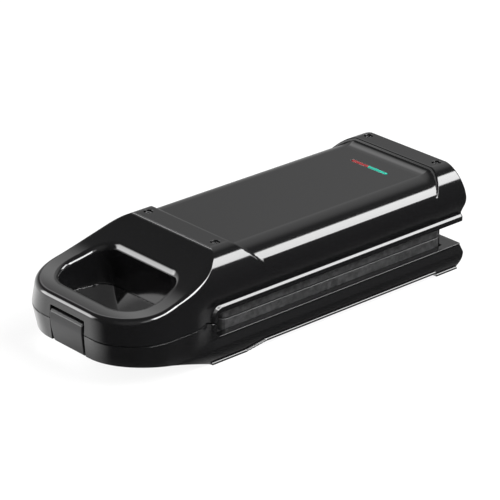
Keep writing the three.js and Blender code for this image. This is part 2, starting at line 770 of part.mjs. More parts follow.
// A tube along the heater's path: two legs and a round bend at the front.
function heaterTube(radius, z, sides, extra) {
  const half = heaterSpacing / 2;
  const bendY = plateFrontY + heaterFrontMargin + half;
  const endY = plateRearY - heaterEndMargin + extra;
  const turns = 12;
  const stations = [[half, endY, 1, 0]];
  for (let k = 0; k <= turns; k++) {
    const angle = Math.PI * k / turns;
    const outX = Math.cos(angle);
    const outY = -Math.sin(angle);
    stations.push([half * outX, bendY + half * outY, outX, outY]);
  }
  stations.push([-half, endY, -1, 0]);
  const rings = stations.map(([x, y, outX, outY]) => {
    const points = [];
    for (let i = 0; i < sides; i++) {
      const angle = 2 * Math.PI * (i + 1 / 2) / sides;
      const out = radius * Math.cos(angle);
      points.push([x + out * outX, y + out * outY, z + radius * Math.sin(angle)]);
    }
    return points;
  });
  return loftTube(rings);
}

// A tube over rings whose flat ends face their own way.
function loftTube(rings) {
  const count = rings[0].length;
  const indices = sideTriangles(rings);
  const last = (rings.length - 1) * count;
  for (let i = 1; i + 1 < count; i++) {
    indices.push(0, i + 1, i);
    indices.push(last, last + i, last + i + 1);
  }
  const geometry = ringGeometry(rings, indices);
  const body = solid(geometry);
  return body.volume() > 0 ? body : solid(flipped(geometry));
}
function flipped(geometry) {
  const index = geometry.index.array;
  const turned = [];
  for (let i = 0; i < index.length; i += 3) turned.push(index[i], index[i + 2], index[i + 1]);
  geometry.setIndex(turned);
  return geometry;
}

// Places on the backs of the plates.
function plateFaces(side) {
  const face = plateSeamHeight + side * plateGap / 2;
  return { face, back: face + side * plateThickness };
}
function heaterZ(side) {
  return plateFaces(side).back + side * heaterStandOff;
}

function bakingPlate(side) {
  const { face, back } = plateFaces(side);
  const outline = roundedRectangle(plateWidth / 2, plateFrontY, plateRearY, plateCornerRadius);
  const block = prismZ(outline, ...ordered(face, back));
  const grooves = [];
  for (let i = 0; i < grooveCount; i++) {
    grooves.push(grooveStar((i - (grooveCount - 1) / 2) * groovePitch));
  }
  const holes = plateScrewPlaces().map(([x, y]) => {
    const deep = back - side * (plateScrewShankLength - lugThickness + fit);
    return bar('z', plateScrewShankRadius + fit, ...ordered(deep, back + side * overrun), [x, y, 0], 10);
  });
  return less(block, ...grooves, heaterTube(heaterRadius + fit, heaterZ(side), 12, overrun), ...holes);
}

function heater(side) {
  const z = heaterZ(side);
  const endY = plateRearY - heaterEndMargin;
  const pins = [-1, 1].map((leg) => bar('y', terminalPinRadius, endY - overrun, endY + terminalPinLength,
    [leg * heaterSpacing / 2, 0, z + side * heaterStandOff], 10));
  return joined(heaterTube(heaterRadius, z, 10, 0), ...pins);
}

// A thin tray behind the heater, its edges turned towards the plate.
function heatShield(side) {
  const { back } = plateFaces(side);
  const edge = back + side * fit;
  const floor = back + side * shieldDepth;
  const from = plateFrontY + shieldEndMargin;
  const to = plateRearY - shieldEndMargin;
  const outline = (inset) => roundedRectangle(
    shieldWidth / 2 - inset, from + inset, to - inset, plateCornerRadius - inset);
  const tray = less(
    prismZ(outline(0), ...ordered(edge, floor + side * shieldSheet)),
    prismZ(outline(shieldSheet), ...ordered(edge - side * overrun, floor)));
  if (side < 0) return tray;
  return tray.subtract(bar('z', thermostatRadius + 2 * fit, floor - overrun, floor + overrun,
    [0, plateMidY, 0], 24)).subtract(box(-thermostatBaseWidth / 2 - fit, thermostatBaseWidth / 2 + fit,
    plateMidY - thermostatRadius - fit, plateMidY + thermostatRadius + fit, floor - overrun, floor + overrun));
}

function thermostat() {
  const { back } = plateFaces(1);
  const low = back + fit;
  return joined(
    box(-thermostatBaseWidth / 2, thermostatBaseWidth / 2, plateMidY - thermostatRadius,
      plateMidY + thermostatRadius, low, low + thermostatBaseHeight),
    bar('z', thermostatRadius, low, low + thermostatHeight, [0, plateMidY, 0], 24));
}

function thermalFuse() {
  const { back } = plateFaces(-1);
  const z = back - shieldDepth + fit + fuseRadius;
  return joined(
    bar('y', fuseRadius, plateMidY - fuseLength / 2, plateMidY + fuseLength / 2, [0, 0, z], 12),
    bar('y', fuseRadius / 2, plateMidY - fuseLength, plateMidY + fuseLength, [0, 0, z], 8));
}

function plateScrew(side, [x, y]) {
  const { back } = plateFaces(side);
  const seat = back + side * (fit + lugThickness + fit);
  const tip = seat - side * plateScrewShankLength;
  return joined(
    bar('z', plateScrewHeadRadius, ...ordered(seat, seat + side * plateScrewHeadHeight), [x, y, 0], 12),
    bar('z', plateScrewShankRadius, ...ordered(seat + side * fit, tip), [x, y, 0], 8));
}

function caseScrew(side, [x, y]) {
  const seat = side > 0 ? overallHeight - screwRecessDepth + fit : baseZ + screwRecessDepth - fit;
  const top = seat + side * screwHeadHeight;
  const tip = seat - side * screwShankLength;
  const head = bar('z', screwHeadRadius, ...ordered(seat, top), [x, y, 0], 12);
  const shank = bar('z', screwShankRadius, ...ordered(seat + side * fit, tip), [x, y, 0], 8);
  const [slotLow, slotHigh] = ordered(top - side * screwSlotDepth, top + side * overrun);
  return less(joined(head, shank), box(x - screwSlotWidth / 2, x + screwSlotWidth / 2,
    y - screwHeadRadius - overrun, y + screwHeadRadius + overrun, slotLow, slotHigh));
}

// The latch turns on a pin across its recess and hooks under the base's front wall.
function latchPinBore() {
  const reach = latchPinHalf + fit;
  return bar('x', latchPinRadius + fit, -reach, reach, [0, latchPinY, latchPinHeight], 14);
}
function latchPin() {
  return bar('x', latchPinRadius, -latchPinHalf, latchPinHalf, [0, latchPinY, latchPinHeight], 14);
}
function latch() {
  const face = frontY - latchProud;
  const inner = face + latchThickness;
  const hookEnd = frontY + latchRecessDepth + latchHookReach;
  const hookTop = baseSlopeZ(hookEnd) - fit;
  const bottom = hookTop - latchHookThickness;
  const outline = [
    [face + latchChamfer / 2, bottom],
    [hookEnd, bottom],
    [hookEnd, hookTop],
    [inner - latchChamfer, hookTop],
    [inner - latchChamfer, partingHeight],
    [inner, latchPinHeight - latchKnuckleRadius],
    [inner, latchTopHeight],
    [face + latchChamfer, latchTopHeight],
    [face, latchTopHeight - latchChamfer / 2],
    [face, bottom + latchChamfer],
  ];
  const plate = prismX(outline, -latchWidth / 2, latchWidth / 2);
  const pinMiddle = [0, latchPinY, latchPinHeight];
  const knuckle = bar('x', latchKnuckleRadius, -latchWidth / 2, latchWidth / 2, pinMiddle);
  const bore = bar('x', latchPinRadius + fit, -cut, cut, pinMiddle, 14);
  return less(joined(plate, knuckle), bore);
}

// One lens of the indicator, and the holder and lamps under them.
function lens(fromX, toX) {
  return box(fromX, toX, slotY - slotWidth / 2 + fit, slotY + slotWidth / 2 - fit,
    panelZ + lensProud - lensHeight, panelZ + lensProud);
}
function lampHolder() {
  const half = slotLength / 2 + holderWall;
  const outer = box(slotOffset - half, slotOffset + half, slotY - holderWidth / 2, slotY + holderWidth / 2,
    holderTop - holderDepth, holderTop);
  const inner = box(slotOffset - half + holderWall, slotOffset + half - holderWall,
    slotY - holderWidth / 2 + holderWall, slotY + holderWidth / 2 - holderWall,
    holderTop - holderDepth + holderWall, holderTop + overrun);
  const ears = [-1, 1].map((side) => box(
    slotOffset + side * half - holderWall / 2, slotOffset + side * half + holderWall / 2,
    slotY - holderWidth / 2, slotY + holderWidth / 2, holderTop - holderDepth, panelZ - wall - fit));
  const divider = box(lensSplit - fit, lensSplit + fit, slotY - holderWidth / 2, slotY + holderWidth / 2,
    holderTop - holderDepth, holderTop);
  return joined(outer.subtract(inner), divider, ...ears);
}
function lamp(fromX, toX) {
  const z = holderTop - holderDepth + holderWall + fit + lampRadius;
  return bar('x', lampRadius, fromX + holderWall, toX - holderWall, [0, slotY, z], 12);
}

function foot([x, y]) {
  return bar('z', footRadius, 0, footThickness, [x, y, 0]);
}

// A grommet with two flanges, round an open bore for the mains lead.
function inletGland() {
  const innerFace = -wall - glandPadThickness - fit;
  const profile = [
    [glandBore, innerFace - glandFlangeThickness],
    [glandFlangeRadius, innerFace - glandFlangeThickness],
    [glandFlangeRadius, innerFace],
    [glandBarrelRadius, innerFace],
    [glandBarrelRadius, -glandFlangeThickness],
    [glandFlangeRadius, -glandFlangeThickness],
    [glandFlangeRadius, 0],
    [glandBore, 0],
    [glandBore, innerFace - glandFlangeThickness],
  ];
  const geometry = new THREE.LatheGeometry(profile.map(([r, y]) => new THREE.Vector2(r, y)), 18);
  geometry.translate(0, rearY, glandHeight);
  const body = solid(geometry);
  return body.volume() > 0 ? body : solid(flipped(mergeVertices(geometry)));
}

function terminalBlock() {
  const outer = -baseBottomWidth / 2 + wall + fit;
  const rear = rearY - wall - fit;
  const low = baseZ + screwRecessDepth + screwPadThickness;
  const block = box(outer, outer + terminalBlockLength, rear - terminalBlockWidth, rear, low,
    low + terminalBlockHeight);
  const ways = 3;
  const holes = [];
  for (let i = 0; i < ways; i++) {
    const x = outer + terminalBlockLength * (i + 1 / 2) / ways;
    holes.push(bar('z', terminalPinRadius, low + terminalBlockHeight / 2, low + terminalBlockHeight + overrun,
      [x, rear - terminalBlockWidth / 2, 0], 10));
  }
  return less(block, ...holes);
}

// Materials
const finish = (color, roughness, metalness = 0) => ({ color, roughness, metalness });
const finishes = {
  glossPlastic: finish(0x151516, 0.28),
  latchPlastic: finish(0x1b1b1c, 0.35),
  heatPlastic: finish(0x1d1d1e, 0.6),
  castPlate: finish(0x2c2c2d, 0.55, 0.4),
  heaterSteel: finish(0x6d6a66, 0.45, 0.9),
  sheetSteel: finish(0xb4b6b8, 0.35, 1),
  pinSteel: finish(0xa9abad, 0.3, 1),
  screwSteel: finish(0x2a2a2b, 0.4, 0.8),
  rubber: finish(0x19191a, 0.9),
  redLens: finish(0xc2262c, 0.15),
  greenLens: finish(0x19b08c, 0.15),
  lampGlass: finish(0xe8d9c8, 0.1),
  ceramic: finish(0xe6e2d8, 0.7),
};

function mesh(name, body, look) {
  const { color, roughness, metalness } = finishes[look];
  const material = new THREE.MeshStandardMaterial({ color, roughness, metalness });
  const made = new THREE.Mesh(geometryOf(body), material);
  made.name = name;
  return made;
}

const corners = ['front_left', 'front_right', 'rear_left', 'rear_right'];

const base = new THREE.Group();
base.add(mesh('lower_housing', lowerHousing(), 'glossPlastic'));
base.add(mesh('lower_frame', innerFrame(-1), 'heatPlastic'));
base.add(mesh('lower_baking_plate', bakingPlate(-1), 'castPlate'));
base.add(mesh('lower_heater', heater(-1), 'heaterSteel'));
base.add(mesh('lower_heat_shield', heatShield(-1), 'sheetSteel'));
base.add(mesh('thermal_fuse', thermalFuse(), 'ceramic'));
base.add(mesh('terminal_block', terminalBlock(), 'ceramic'));
base.add(mesh('inlet_gland', inletGland(), 'rubber'));
base.add(mesh('hinge_pin', hingePin(), 'pinSteel'));
corners.forEach((corner, i) => {
  base.add(mesh(`foot_${corner}`, foot(footPlaces[i]), 'rubber'));
  base.add(mesh(`base_screw_${corner}`, caseScrew(-1, screwPlaces[i]), 'screwSteel'));
  base.add(mesh(`lower_plate_screw_${corner}`, plateScrew(-1, plateScrewPlaces()[i]), 'pinSteel'));
});

const lid = new THREE.Group();
lid.add(mesh('upper_housing', upperHousing(), 'glossPlastic'));
lid.add(mesh('upper_frame', innerFrame(1), 'heatPlastic'));
lid.add(mesh('upper_baking_plate', bakingPlate(1), 'castPlate'));
lid.add(mesh('upper_heater', heater(1), 'heaterSteel'));
lid.add(mesh('upper_heat_shield', heatShield(1), 'sheetSteel'));
lid.add(mesh('thermostat', thermostat(), 'ceramic'));
lid.add(mesh('latch_pin', latchPin(), 'pinSteel'));
lid.add(mesh('red_lens', lens(slotStart, lensSplit - fit / 2), 'redLens'));
lid.add(mesh('green_lens', lens(lensSplit + fit / 2, slotEnd), 'greenLens'));
lid.add(mesh('lamp_holder', lampHolder(), 'heatPlastic'));
lid.add(mesh('red_lamp', lamp(slotStart, lensSplit), 'lampGlass'));
lid.add(mesh('green_lamp', lamp(lensSplit, slotEnd), 'lampGlass'));
corners.forEach((corner, i) => {
  lid.add(mesh(`lid_screw_${corner}`, caseScrew(1, screwPlaces[i]), 'screwSteel'));
  lid.add(mesh(`upper_plate_screw_${corner}`, plateScrew(1, plateScrewPlaces()[i]), 'pinSteel'));
});
lid.add(mesh('latch', latch(), 'latchPlastic'));

const churroMaker = new THREE.Group();
churroMaker.add(base);
churroMaker.add(lid);

export default churroMaker;
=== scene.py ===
"""Looks for the churro maker: smooth moulded housings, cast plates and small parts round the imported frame.

Shapes are worked out in millimetres, in the frame's own axes, and turned into metres as meshes.
A housing is a field: negative inside the plastic, positive outside, about one per millimetre near
its surface. The field is meshed on a grid that is finer where edges need it.
"""

import math

import bpy
import numpy as np
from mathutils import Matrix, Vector
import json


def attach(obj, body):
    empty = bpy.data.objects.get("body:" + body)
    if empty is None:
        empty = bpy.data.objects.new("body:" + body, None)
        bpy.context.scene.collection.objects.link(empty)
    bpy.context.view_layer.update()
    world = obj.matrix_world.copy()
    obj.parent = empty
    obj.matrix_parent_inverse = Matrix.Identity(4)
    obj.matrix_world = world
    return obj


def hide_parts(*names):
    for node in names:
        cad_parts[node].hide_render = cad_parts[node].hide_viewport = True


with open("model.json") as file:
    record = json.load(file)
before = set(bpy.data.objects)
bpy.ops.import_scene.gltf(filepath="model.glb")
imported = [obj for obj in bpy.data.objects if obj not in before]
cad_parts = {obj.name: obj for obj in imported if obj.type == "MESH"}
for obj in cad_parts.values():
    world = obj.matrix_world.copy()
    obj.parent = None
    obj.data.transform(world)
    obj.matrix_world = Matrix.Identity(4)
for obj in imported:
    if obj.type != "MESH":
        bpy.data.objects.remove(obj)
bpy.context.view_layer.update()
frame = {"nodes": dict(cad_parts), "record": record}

# Metres in a millimetre
MM = 0.001

# Sizes in millimetres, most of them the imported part's own: the body, its walls and its seam
REAR, FRONT = 187.75, -186.75
TOP, BASE = 93.7, 1.0
LID_HALF, BASE_HALF, NOSE_HALF = 70.0, 68.4, 74.0
WALL, BULKHEAD = 2.5, 3.0
SEAM, SEAM_GAP, SEAM_EDGE = 42.6, 0.7, 0.3
RIM_EDGE, RIM_EDGE_RUN = 0.5, 6.0
NOSE_RADIUS, REAR_RADIUS, NOSE_DRAFT = 45.0, 2.0, 1.7
BOTTOM_HALF, BASE_WIDEST, BASE_DROP = 60.4, 17.7, 0.85

# Plinth along the foot, the two rims of the side gap and the bead round it
PLINTH_OUT, PLINTH_HEIGHT, PLINTH_END, PLINTH_DEPTH, PLINTH_EDGE = 1.7, 1.2, 1.5, 3.0, 0.1
RIM, LIP, RIM_HALF, UNDER_RIM = 24.5, 45.7, 64.2, 1.7
BEAD, BEAD_START, BEAD_CROWN, BEAD_HEIGHT = 2.1, -1.0, 4.1, 6.1

# Shoulder, bands and sunk panel of the lid
SHOULDER_RUN, SHOULDER_RISE = 26.0, 26.2
SHOULDER_POWER, SWELL_POWER, SLOPE_POWER = 1.65, 1.5, 2.3
LID_WIDEST = TOP - SHOULDER_RISE
BAND_FRONT, BAND_REAR, REAR_BAND = -78.95, -58.75, 168.25
PANEL_SINK, PANEL_RAMP, PANEL_FADE, SLOPE_STEP, REAR_SLANT = 4.6, 14.75, 1.0, 0.8, 0.85
PANEL_Z = TOP - PANEL_SINK
STEP_ROLL, PANEL_FILLET, BAND_GROOVE, GROOVE_BACK = 6.0, 1.2, 0.75, 0.5

# Slopes of the nose, and the radius of its upper edge, which grows from the band to the tip
NOSE_TOP, NOSE_BOTTOM = 63.2, 24.7
EDGE_BAND, EDGE_SLOPE, EDGE_TIP = 0.3, 3.1, 0.8
EDGE_START, EDGE_TIP_START, EDGE_RUN = BAND_FRONT + 4, -150.0, 30.0

# Underside, and the side gap with the seam's drop before it
BASE_FLAT, BASE_BAND, BASE_RAMP, FOOT_BAND = -90.75, 36.0, 18.0, 26.5
GAP, BLEND, GAP_RADIUS, SEAM_RUN, SEAM_DROP = -87.75, -120.0, 4.0, 15.0, 6.1

# Opening of the loop handle
OPEN_FRONT, OPEN_REAR = -165.25, -108.05
OPEN_FRONT_HALF, OPEN_REAR_HALF = 56.2, 46.0
OPEN_FRONT_RADIUS, OPEN_REAR_RADIUS, OPEN_EDGE, OPEN_LEAN = 30.0, 13.0, 4.4, 0.065

# Screws, their bosses and the feet
SCREWS = [(sx * 40.9, y) for y in (-68.75, 179.05) for sx in (-1, 1)]
FEET = [(sx * 52.0, y) for y in (-84.75, 174.25) for sx in (-1, 1)]
FOOT_SEAT, FOOT_SEAT_TOP = 6.3, 2.5
SCREW_RECESS, SCREW_DEPTH, SCREW_HEAD, SCREW_SHANK, SCREW_LENGTH = 3.8, 3.4, 3.3, 1.6, 9.6
SCREW_HOLE, BOSS_RADIUS = 1.9, 6.5
LID_BOSS, BASE_BOSS = (TOP - 5.8, TOP - WALL + 0.3), (BASE + 2.2, BASE + 5.5)
DOME_FALL = 0.5 / 3.5 ** 2
HEAD_DEPTH, HEAD_SEAT = 1.6, 1.3
CROSS_REACH, CROSS_HALF, CROSS_DEPTH, CROSS_CORNER, CROSS_EDGE = 2.1, 0.45, 1.0, 0.1, 0.12
LID_SCREW_TOP, BASE_SCREW_TOP = TOP - 0.9, BASE + 1.0

# Hinge: the lid's lug between the base's ears
HINGE_Y, HINGE_Z, HINGE_RADIUS = 181.55, 36.0, 5.8
LUG_HALF, EAR_START, EAR_END = 19.5, 20.0, 39.5
LUG_TOP, EAR_FOOT = LIP + 5.8, RIM - 11.6
HINGE_HOLE, HINGE_HOLE_END = 2.3, 36.3

# Latch, its recess, its pin and its hook
LATCH_HALF, LATCH_SIDE_GAP = 19.9, 0.9
RECESS_DEPTH, RECESS_TOP = 8.0, 54.0
LATCH_PIN_Y, LATCH_PIN_Z, LATCH_PIN_HOLE, LATCH_PIN_END, LATCH_KNUCKLE = -183.15, 48.2, 1.7, 22.8, 3.2
LATCH_FACE, LATCH_BACK, LATCH_TOP, LATCH_CHAMFER = -187.75, -182.25, 51.8, 2.0
HOOK_TOP, HOOK_BOTTOM, HOOK_END = 24.1, 22.6, -175.75
LATCH_BEND, LATCH_LEAN, LEAN_POWER, LATCH_TAPER = 43.5, 3.0, 1.3, 1.6
LATCH_SET_BACK, SET_BACK_START, SET_BACK_RUN, LATCH_THINNING = 0.35, 44.5, 6.0, 2.0
LATCH_TOE_EDGE, LATCH_SIDE_EDGE = 3.0, 0.7

# Lenses in their slot
SLOT_X, SLOT_Y, SLOT_HALF, SLOT_WIDTH = 2.7, 137.75, 21.25, 4.4
LENS_HALF, LENS_BOTTOM, LENS_TOP = 1.85, 84.3, 89.5
LENS_CROWN, LENS_RIB, LENS_RIB_PITCH, LENS_CORNER, LENS_EDGE = 0.7, 0.1, 2.4, 0.6, 0.35

# Mains inlet in the rear wall, and the ledge over the lower frame's edge
GLAND_Z, GLAND_PAD, GLAND_SEAT, GLAND_HOLE = 12.5, 10.5, 8.3, 6.3
PAD_START, PAD_END, PAD_FLOOR, SEAT_START = REAR - 5.5, REAR - 1.25, BASE + 1.25, REAR - 1.8
LEDGE_FRONT, LEDGE_HALF, LEDGE_INNER, LEDGE_CLEAR = 172.9, 62.0, 55.9, 2.0
LEDGE_LOW, LEDGE_HIGH, LEDGE_EDGE = RIM - 1.1, RIM - 0.1, 0.2

# Radii used in several places, and overruns for cuts
EDGE, MOUTH_EDGE, FINE_EDGE, FILLET = 0.5, 0.6, 0.3, 0.4
THROUGH, PAST_SIDES = 9.0, 75.0


# Fields

def soft_max(a, b, radius):
    """Where two solids meet in an outer edge of that radius."""
    return np.minimum(-radius, np.maximum(a, b)) + np.hypot(
        np.maximum(a + radius, 0), np.maximum(b + radius, 0))


def soft_min(a, b, radius):
    """Two solids joined, with a fillet of that radius."""
    return -soft_max(-a, -b, radius)


def ease(t):
    t = np.clip(t, 0, 1)
    return t * t * (3 - 2 * t)


def half_width(z):
    """Half the body's width along its straight sides, at a height."""
    flank = BOTTOM_HALF + (BASE_HALF - BOTTOM_HALF) * np.sin(
        np.pi / 2 * np.clip((z - BASE) / (BASE_WIDEST - BASE), 0, 1))
    under = np.clip((z - BASE_WIDEST) / (RIM - UNDER_RIM - BASE_WIDEST), 0, 1)
    low = flank + (RIM_HALF - BASE_HALF) * under
    over = np.clip((z - LIP - BEAD_HEIGHT) / (LID_WIDEST - LIP - BEAD_HEIGHT), 0, 1)
    return low + (LID_HALF - RIM_HALF) * np.sin(np.pi / 2 * over) ** SWELL_POWER


def lip_bead(y, z):
    """How far the bead round the lid's side opening stands out; it dies away at the lower housing."""
    away = soft_max(GAP - y, z - LIP, GAP_RADIUS)
    crown = 1 - np.clip((away - BEAD_CROWN) / (BEAD_HEIGHT - BEAD_CROWN), 0, 1)
    return np.where(away > BEAD_START, BEAD * crown, 0) * ease((z - RIM) / (SEAM - RIM))


def nose_half(z):
    up = np.clip((z - SEAM) / (LID_WIDEST - SEAM), 0, 1)
    down = np.clip((SEAM - z) / (SEAM - BASE_WIDEST), 0, 1)
    drafted = NOSE_HALF + (LID_HALF - NOSE_HALF) * up + (BASE_HALF - NOSE_HALF) * down
    return np.where(z < BASE_WIDEST, half_width(z), drafted)


def plan(x, y, half, front):
    """Distance to the body's outline seen from above, open to the rear."""
    qx = np.abs(x) - (half - NOSE_RADIUS)
    qy = front + NOSE_RADIUS - y
    return np.hypot(np.maximum(qx, 0), np.maximum(qy, 0)) + np.minimum(np.maximum(qx, qy), 0) - NOSE_RADIUS


def sides(x, y, z):
    width = nose_half(z) + (half_width(z) - nose_half(z)) * ease((y - BLEND) / (GAP - BLEND))
    front = FRONT + NOSE_DRAFT * np.minimum(1, np.abs(z - SEAM) / (NOSE_TOP - SEAM))
    return plan(x, y, width + lip_bead(y, z), front)


def shoulder(inside, z, run, rise, scale):
    """The rounded top edge along the sides; inside is the distance in from the widest outline."""
    u = np.maximum(SHOULDER_RUN - inside, 0) / run
    v = np.maximum(z - LID_WIDEST, 0) / rise
    return ((u ** SHOULDER_POWER + v ** SHOULDER_POWER) ** (1 / SHOULDER_POWER) - 1) * scale


def lid_slope(y):
    share = np.clip((BAND_FRONT - y) / (BAND_FRONT - FRONT), 0, 1)
    return NOSE_TOP + (TOP - SLOPE_STEP - NOSE_TOP) * (1 - share) ** SLOPE_POWER


def base_slope(y):
    share = np.clip((BASE_FLAT - y) / (BASE_FLAT - FRONT), 0, 1)
    return NOSE_BOTTOM - (NOSE_BOTTOM - BASE) * (1 - share) ** 2


def lean(height, y):
    """Turns a height over a slope into a distance from it."""
    step = 0.5
    tilt = (height(y + step) - height(y - step)) / (2 * step)
    return 1 / np.hypot(1, tilt)


def opening(x, y, z):
    """Distance into the wall round the loop handle's opening; negative in the opening."""
    slant = (OPEN_FRONT_HALF - OPEN_REAR_HALF) / (OPEN_REAR - OPEN_FRONT)
    side = (np.abs(x) - OPEN_FRONT_HALF + slant * (y - OPEN_FRONT)) / math.hypot(1, slant)
    flat = soft_max(soft_max(side, OPEN_FRONT - y, OPEN_FRONT_RADIUS), y - OPEN_REAR, OPEN_REAR_RADIUS)
    height = np.where(z > SEAM, lid_slope(y) - z, z - base_slope(y))
    return flat + OPEN_LEAN * np.maximum(height, 0)


def block(x, y, z, low, high, radius=0.0):
    """Distance to a box between two corners, its edges rounded."""
    q = [np.maximum(a - c, b - a) for a, b, c in zip((x, y, z), low, high)]
    if radius == 0:
        return np.maximum(np.maximum(q[0], q[1]), q[2])
    return soft_max(soft_max(q[0], q[1], radius), q[2], radius)


def rod(a, b, along, centre, radius, low, high, edge=0.0):
    """Distance to a round bar: a and b lie across it."""
    out = np.hypot(a - centre[0], b - centre[1]) - radius
    ends = np.maximum(low - along, along - high)
    return soft_max(out, ends, edge) if edge else np.maximum(out, ends)


def latch_recess(x, y, z):
    half = LATCH_HALF + LATCH_SIDE_GAP
    return block(x, y, z, (-half, FRONT - PAST_SIDES, -PAST_SIDES), (half, FRONT + RECESS_DEPTH, RECESS_TOP))


def hinge_hole(x, y, z):
    return rod(y, z, x, (HINGE_Y, HINGE_Z), HINGE_HOLE, -HINGE_HOLE_END, HINGE_HOLE_END)


def hollowed(closed, y):
    """A shell of the wall's thickness, with the cross wall behind the handle."""
    shell = np.maximum(closed, -(closed + WALL))
    bulkhead = np.maximum(closed, np.abs(y - GAP + BULKHEAD / 2) - BULKHEAD / 2)
    return np.minimum(shell, bulkhead)


def upper_field(x, y, z):
    """The lid's shell: its outside first, then bosses, seam, hinge lug and holes."""
    widest = plan(x, y, LID_HALF, FRONT + NOSE_DRAFT)
    crown = shoulder(-widest, z, SHOULDER_RUN, SHOULDER_RISE, SHOULDER_RISE)
    body = np.where(z > LID_WIDEST, crown, sides(x, y, z))
    slope = (z - lid_slope(y)) * lean(lid_slope, y)
    band = soft_max(BAND_FRONT - y, z - TOP, EDGE)
    top = soft_min(slope, band, FILLET)
    nose_edge = EDGE_BAND + EDGE_SLOPE * ease((EDGE_START - y) / EDGE_RUN)
    nose_edge = nose_edge + EDGE_TIP * ease((EDGE_TIP_START - y) / EDGE_RUN)
    body = soft_max(body, top, nose_edge)
    t = np.clip((y - REAR_BAND + PANEL_RAMP) / PANEL_RAMP, 0, 1)
    sink = PANEL_SINK * np.sqrt(1 - t * t)
    over = shoulder(-widest, z, SHOULDER_RUN + PANEL_FADE, SHOULDER_RISE - sink, SHOULDER_RISE - sink)
    past = np.maximum(y - BAND_REAR + STEP_ROLL / 2, 0)
    drop = np.where(past < STEP_ROLL, past ** 2 / (2 * STEP_ROLL), past - STEP_ROLL / 2)
    step = (z - TOP + drop) / np.hypot(1, np.minimum(past / STEP_ROLL, 1))
    rear_step = (REAR_BAND - REAR_SLANT * (TOP - z) - y) / math.hypot(1, REAR_SLANT)
    body = soft_max(body, np.minimum(soft_min(over, step, PANEL_FILLET), rear_step), MOUTH_EDGE)
    body = soft_max(body, y - REAR, REAR_RADIUS)
    body = soft_max(body, -opening(x, y, z), OPEN_EDGE)
    body = soft_max(body, -latch_recess(x, y, z), MOUTH_EDGE)
    groove = rod(y, z, x, (BAND_FRONT - GROOVE_BACK, TOP - SLOPE_STEP), BAND_GROOVE, -PAST_SIDES, PAST_SIDES)
    body = np.maximum(body, -groove)
    body = hollowed(body, y)
    for sx, sy in SCREWS:
        body = np.minimum(body, rod(x, y, z, (sx, sy), BOSS_RADIUS, *LID_BOSS))
    seam = SEAM + SEAM_GAP / 2 - SEAM_DROP * np.clip((y - GAP + SEAM_RUN) / SEAM_RUN, 0, 1) - z
    gap = soft_max(GAP - y, z - LIP, GAP_RADIUS)
    body = soft_max(body, np.maximum(seam, -gap), SEAM_EDGE)
    eye = rod(y, z, x, (HINGE_Y, HINGE_Z), HINGE_RADIUS, -LUG_HALF, LUG_HALF, EDGE)
    neck = block(x, y, z, (-LUG_HALF, HINGE_Y - HINGE_RADIUS, HINGE_Z),
                 (LUG_HALF, HINGE_Y + HINGE_RADIUS, LUG_TOP), EDGE)
    body = np.minimum(body, soft_min(eye, neck, EDGE))
    for sx, sy in SCREWS:
        recess = rod(x, y, z, (sx, sy), SCREW_RECESS, TOP - SCREW_DEPTH, TOP + THROUGH)
        body = soft_max(body, -recess, EDGE)
        body = np.maximum(body, -rod(x, y, z, (sx, sy), SCREW_HOLE, TOP - THROUGH, TOP))
    slot = block(x, y, z, (SLOT_X - SLOT_HALF, SLOT_Y - SLOT_WIDTH / 2, PANEL_Z - THROUGH),
                 (SLOT_X + SLOT_HALF, SLOT_Y + SLOT_WIDTH / 2, PANEL_Z + THROUGH))
    body = soft_max(body, -slot, FINE_EDGE)
    pin = rod(y, z, x, (LATCH_PIN_Y, LATCH_PIN_Z), LATCH_PIN_HOLE, -LATCH_PIN_END, LATCH_PIN_END)
    return np.maximum(np.maximum(body, -pin), -hinge_hole(x, y, z))


def bottom_height(y):
    """The underside, sunk between the foot bands, at a place along the body."""
    ramp = BASE_FLAT + BASE_BAND
    rear = REAR - FOOT_BAND
    places = [ramp, ramp + BASE_RAMP, rear - PANEL_SINK, rear]
    return base_slope(y) + np.interp(y, places, [-BASE_DROP, PANEL_SINK, PANEL_SINK, -BASE_DROP])


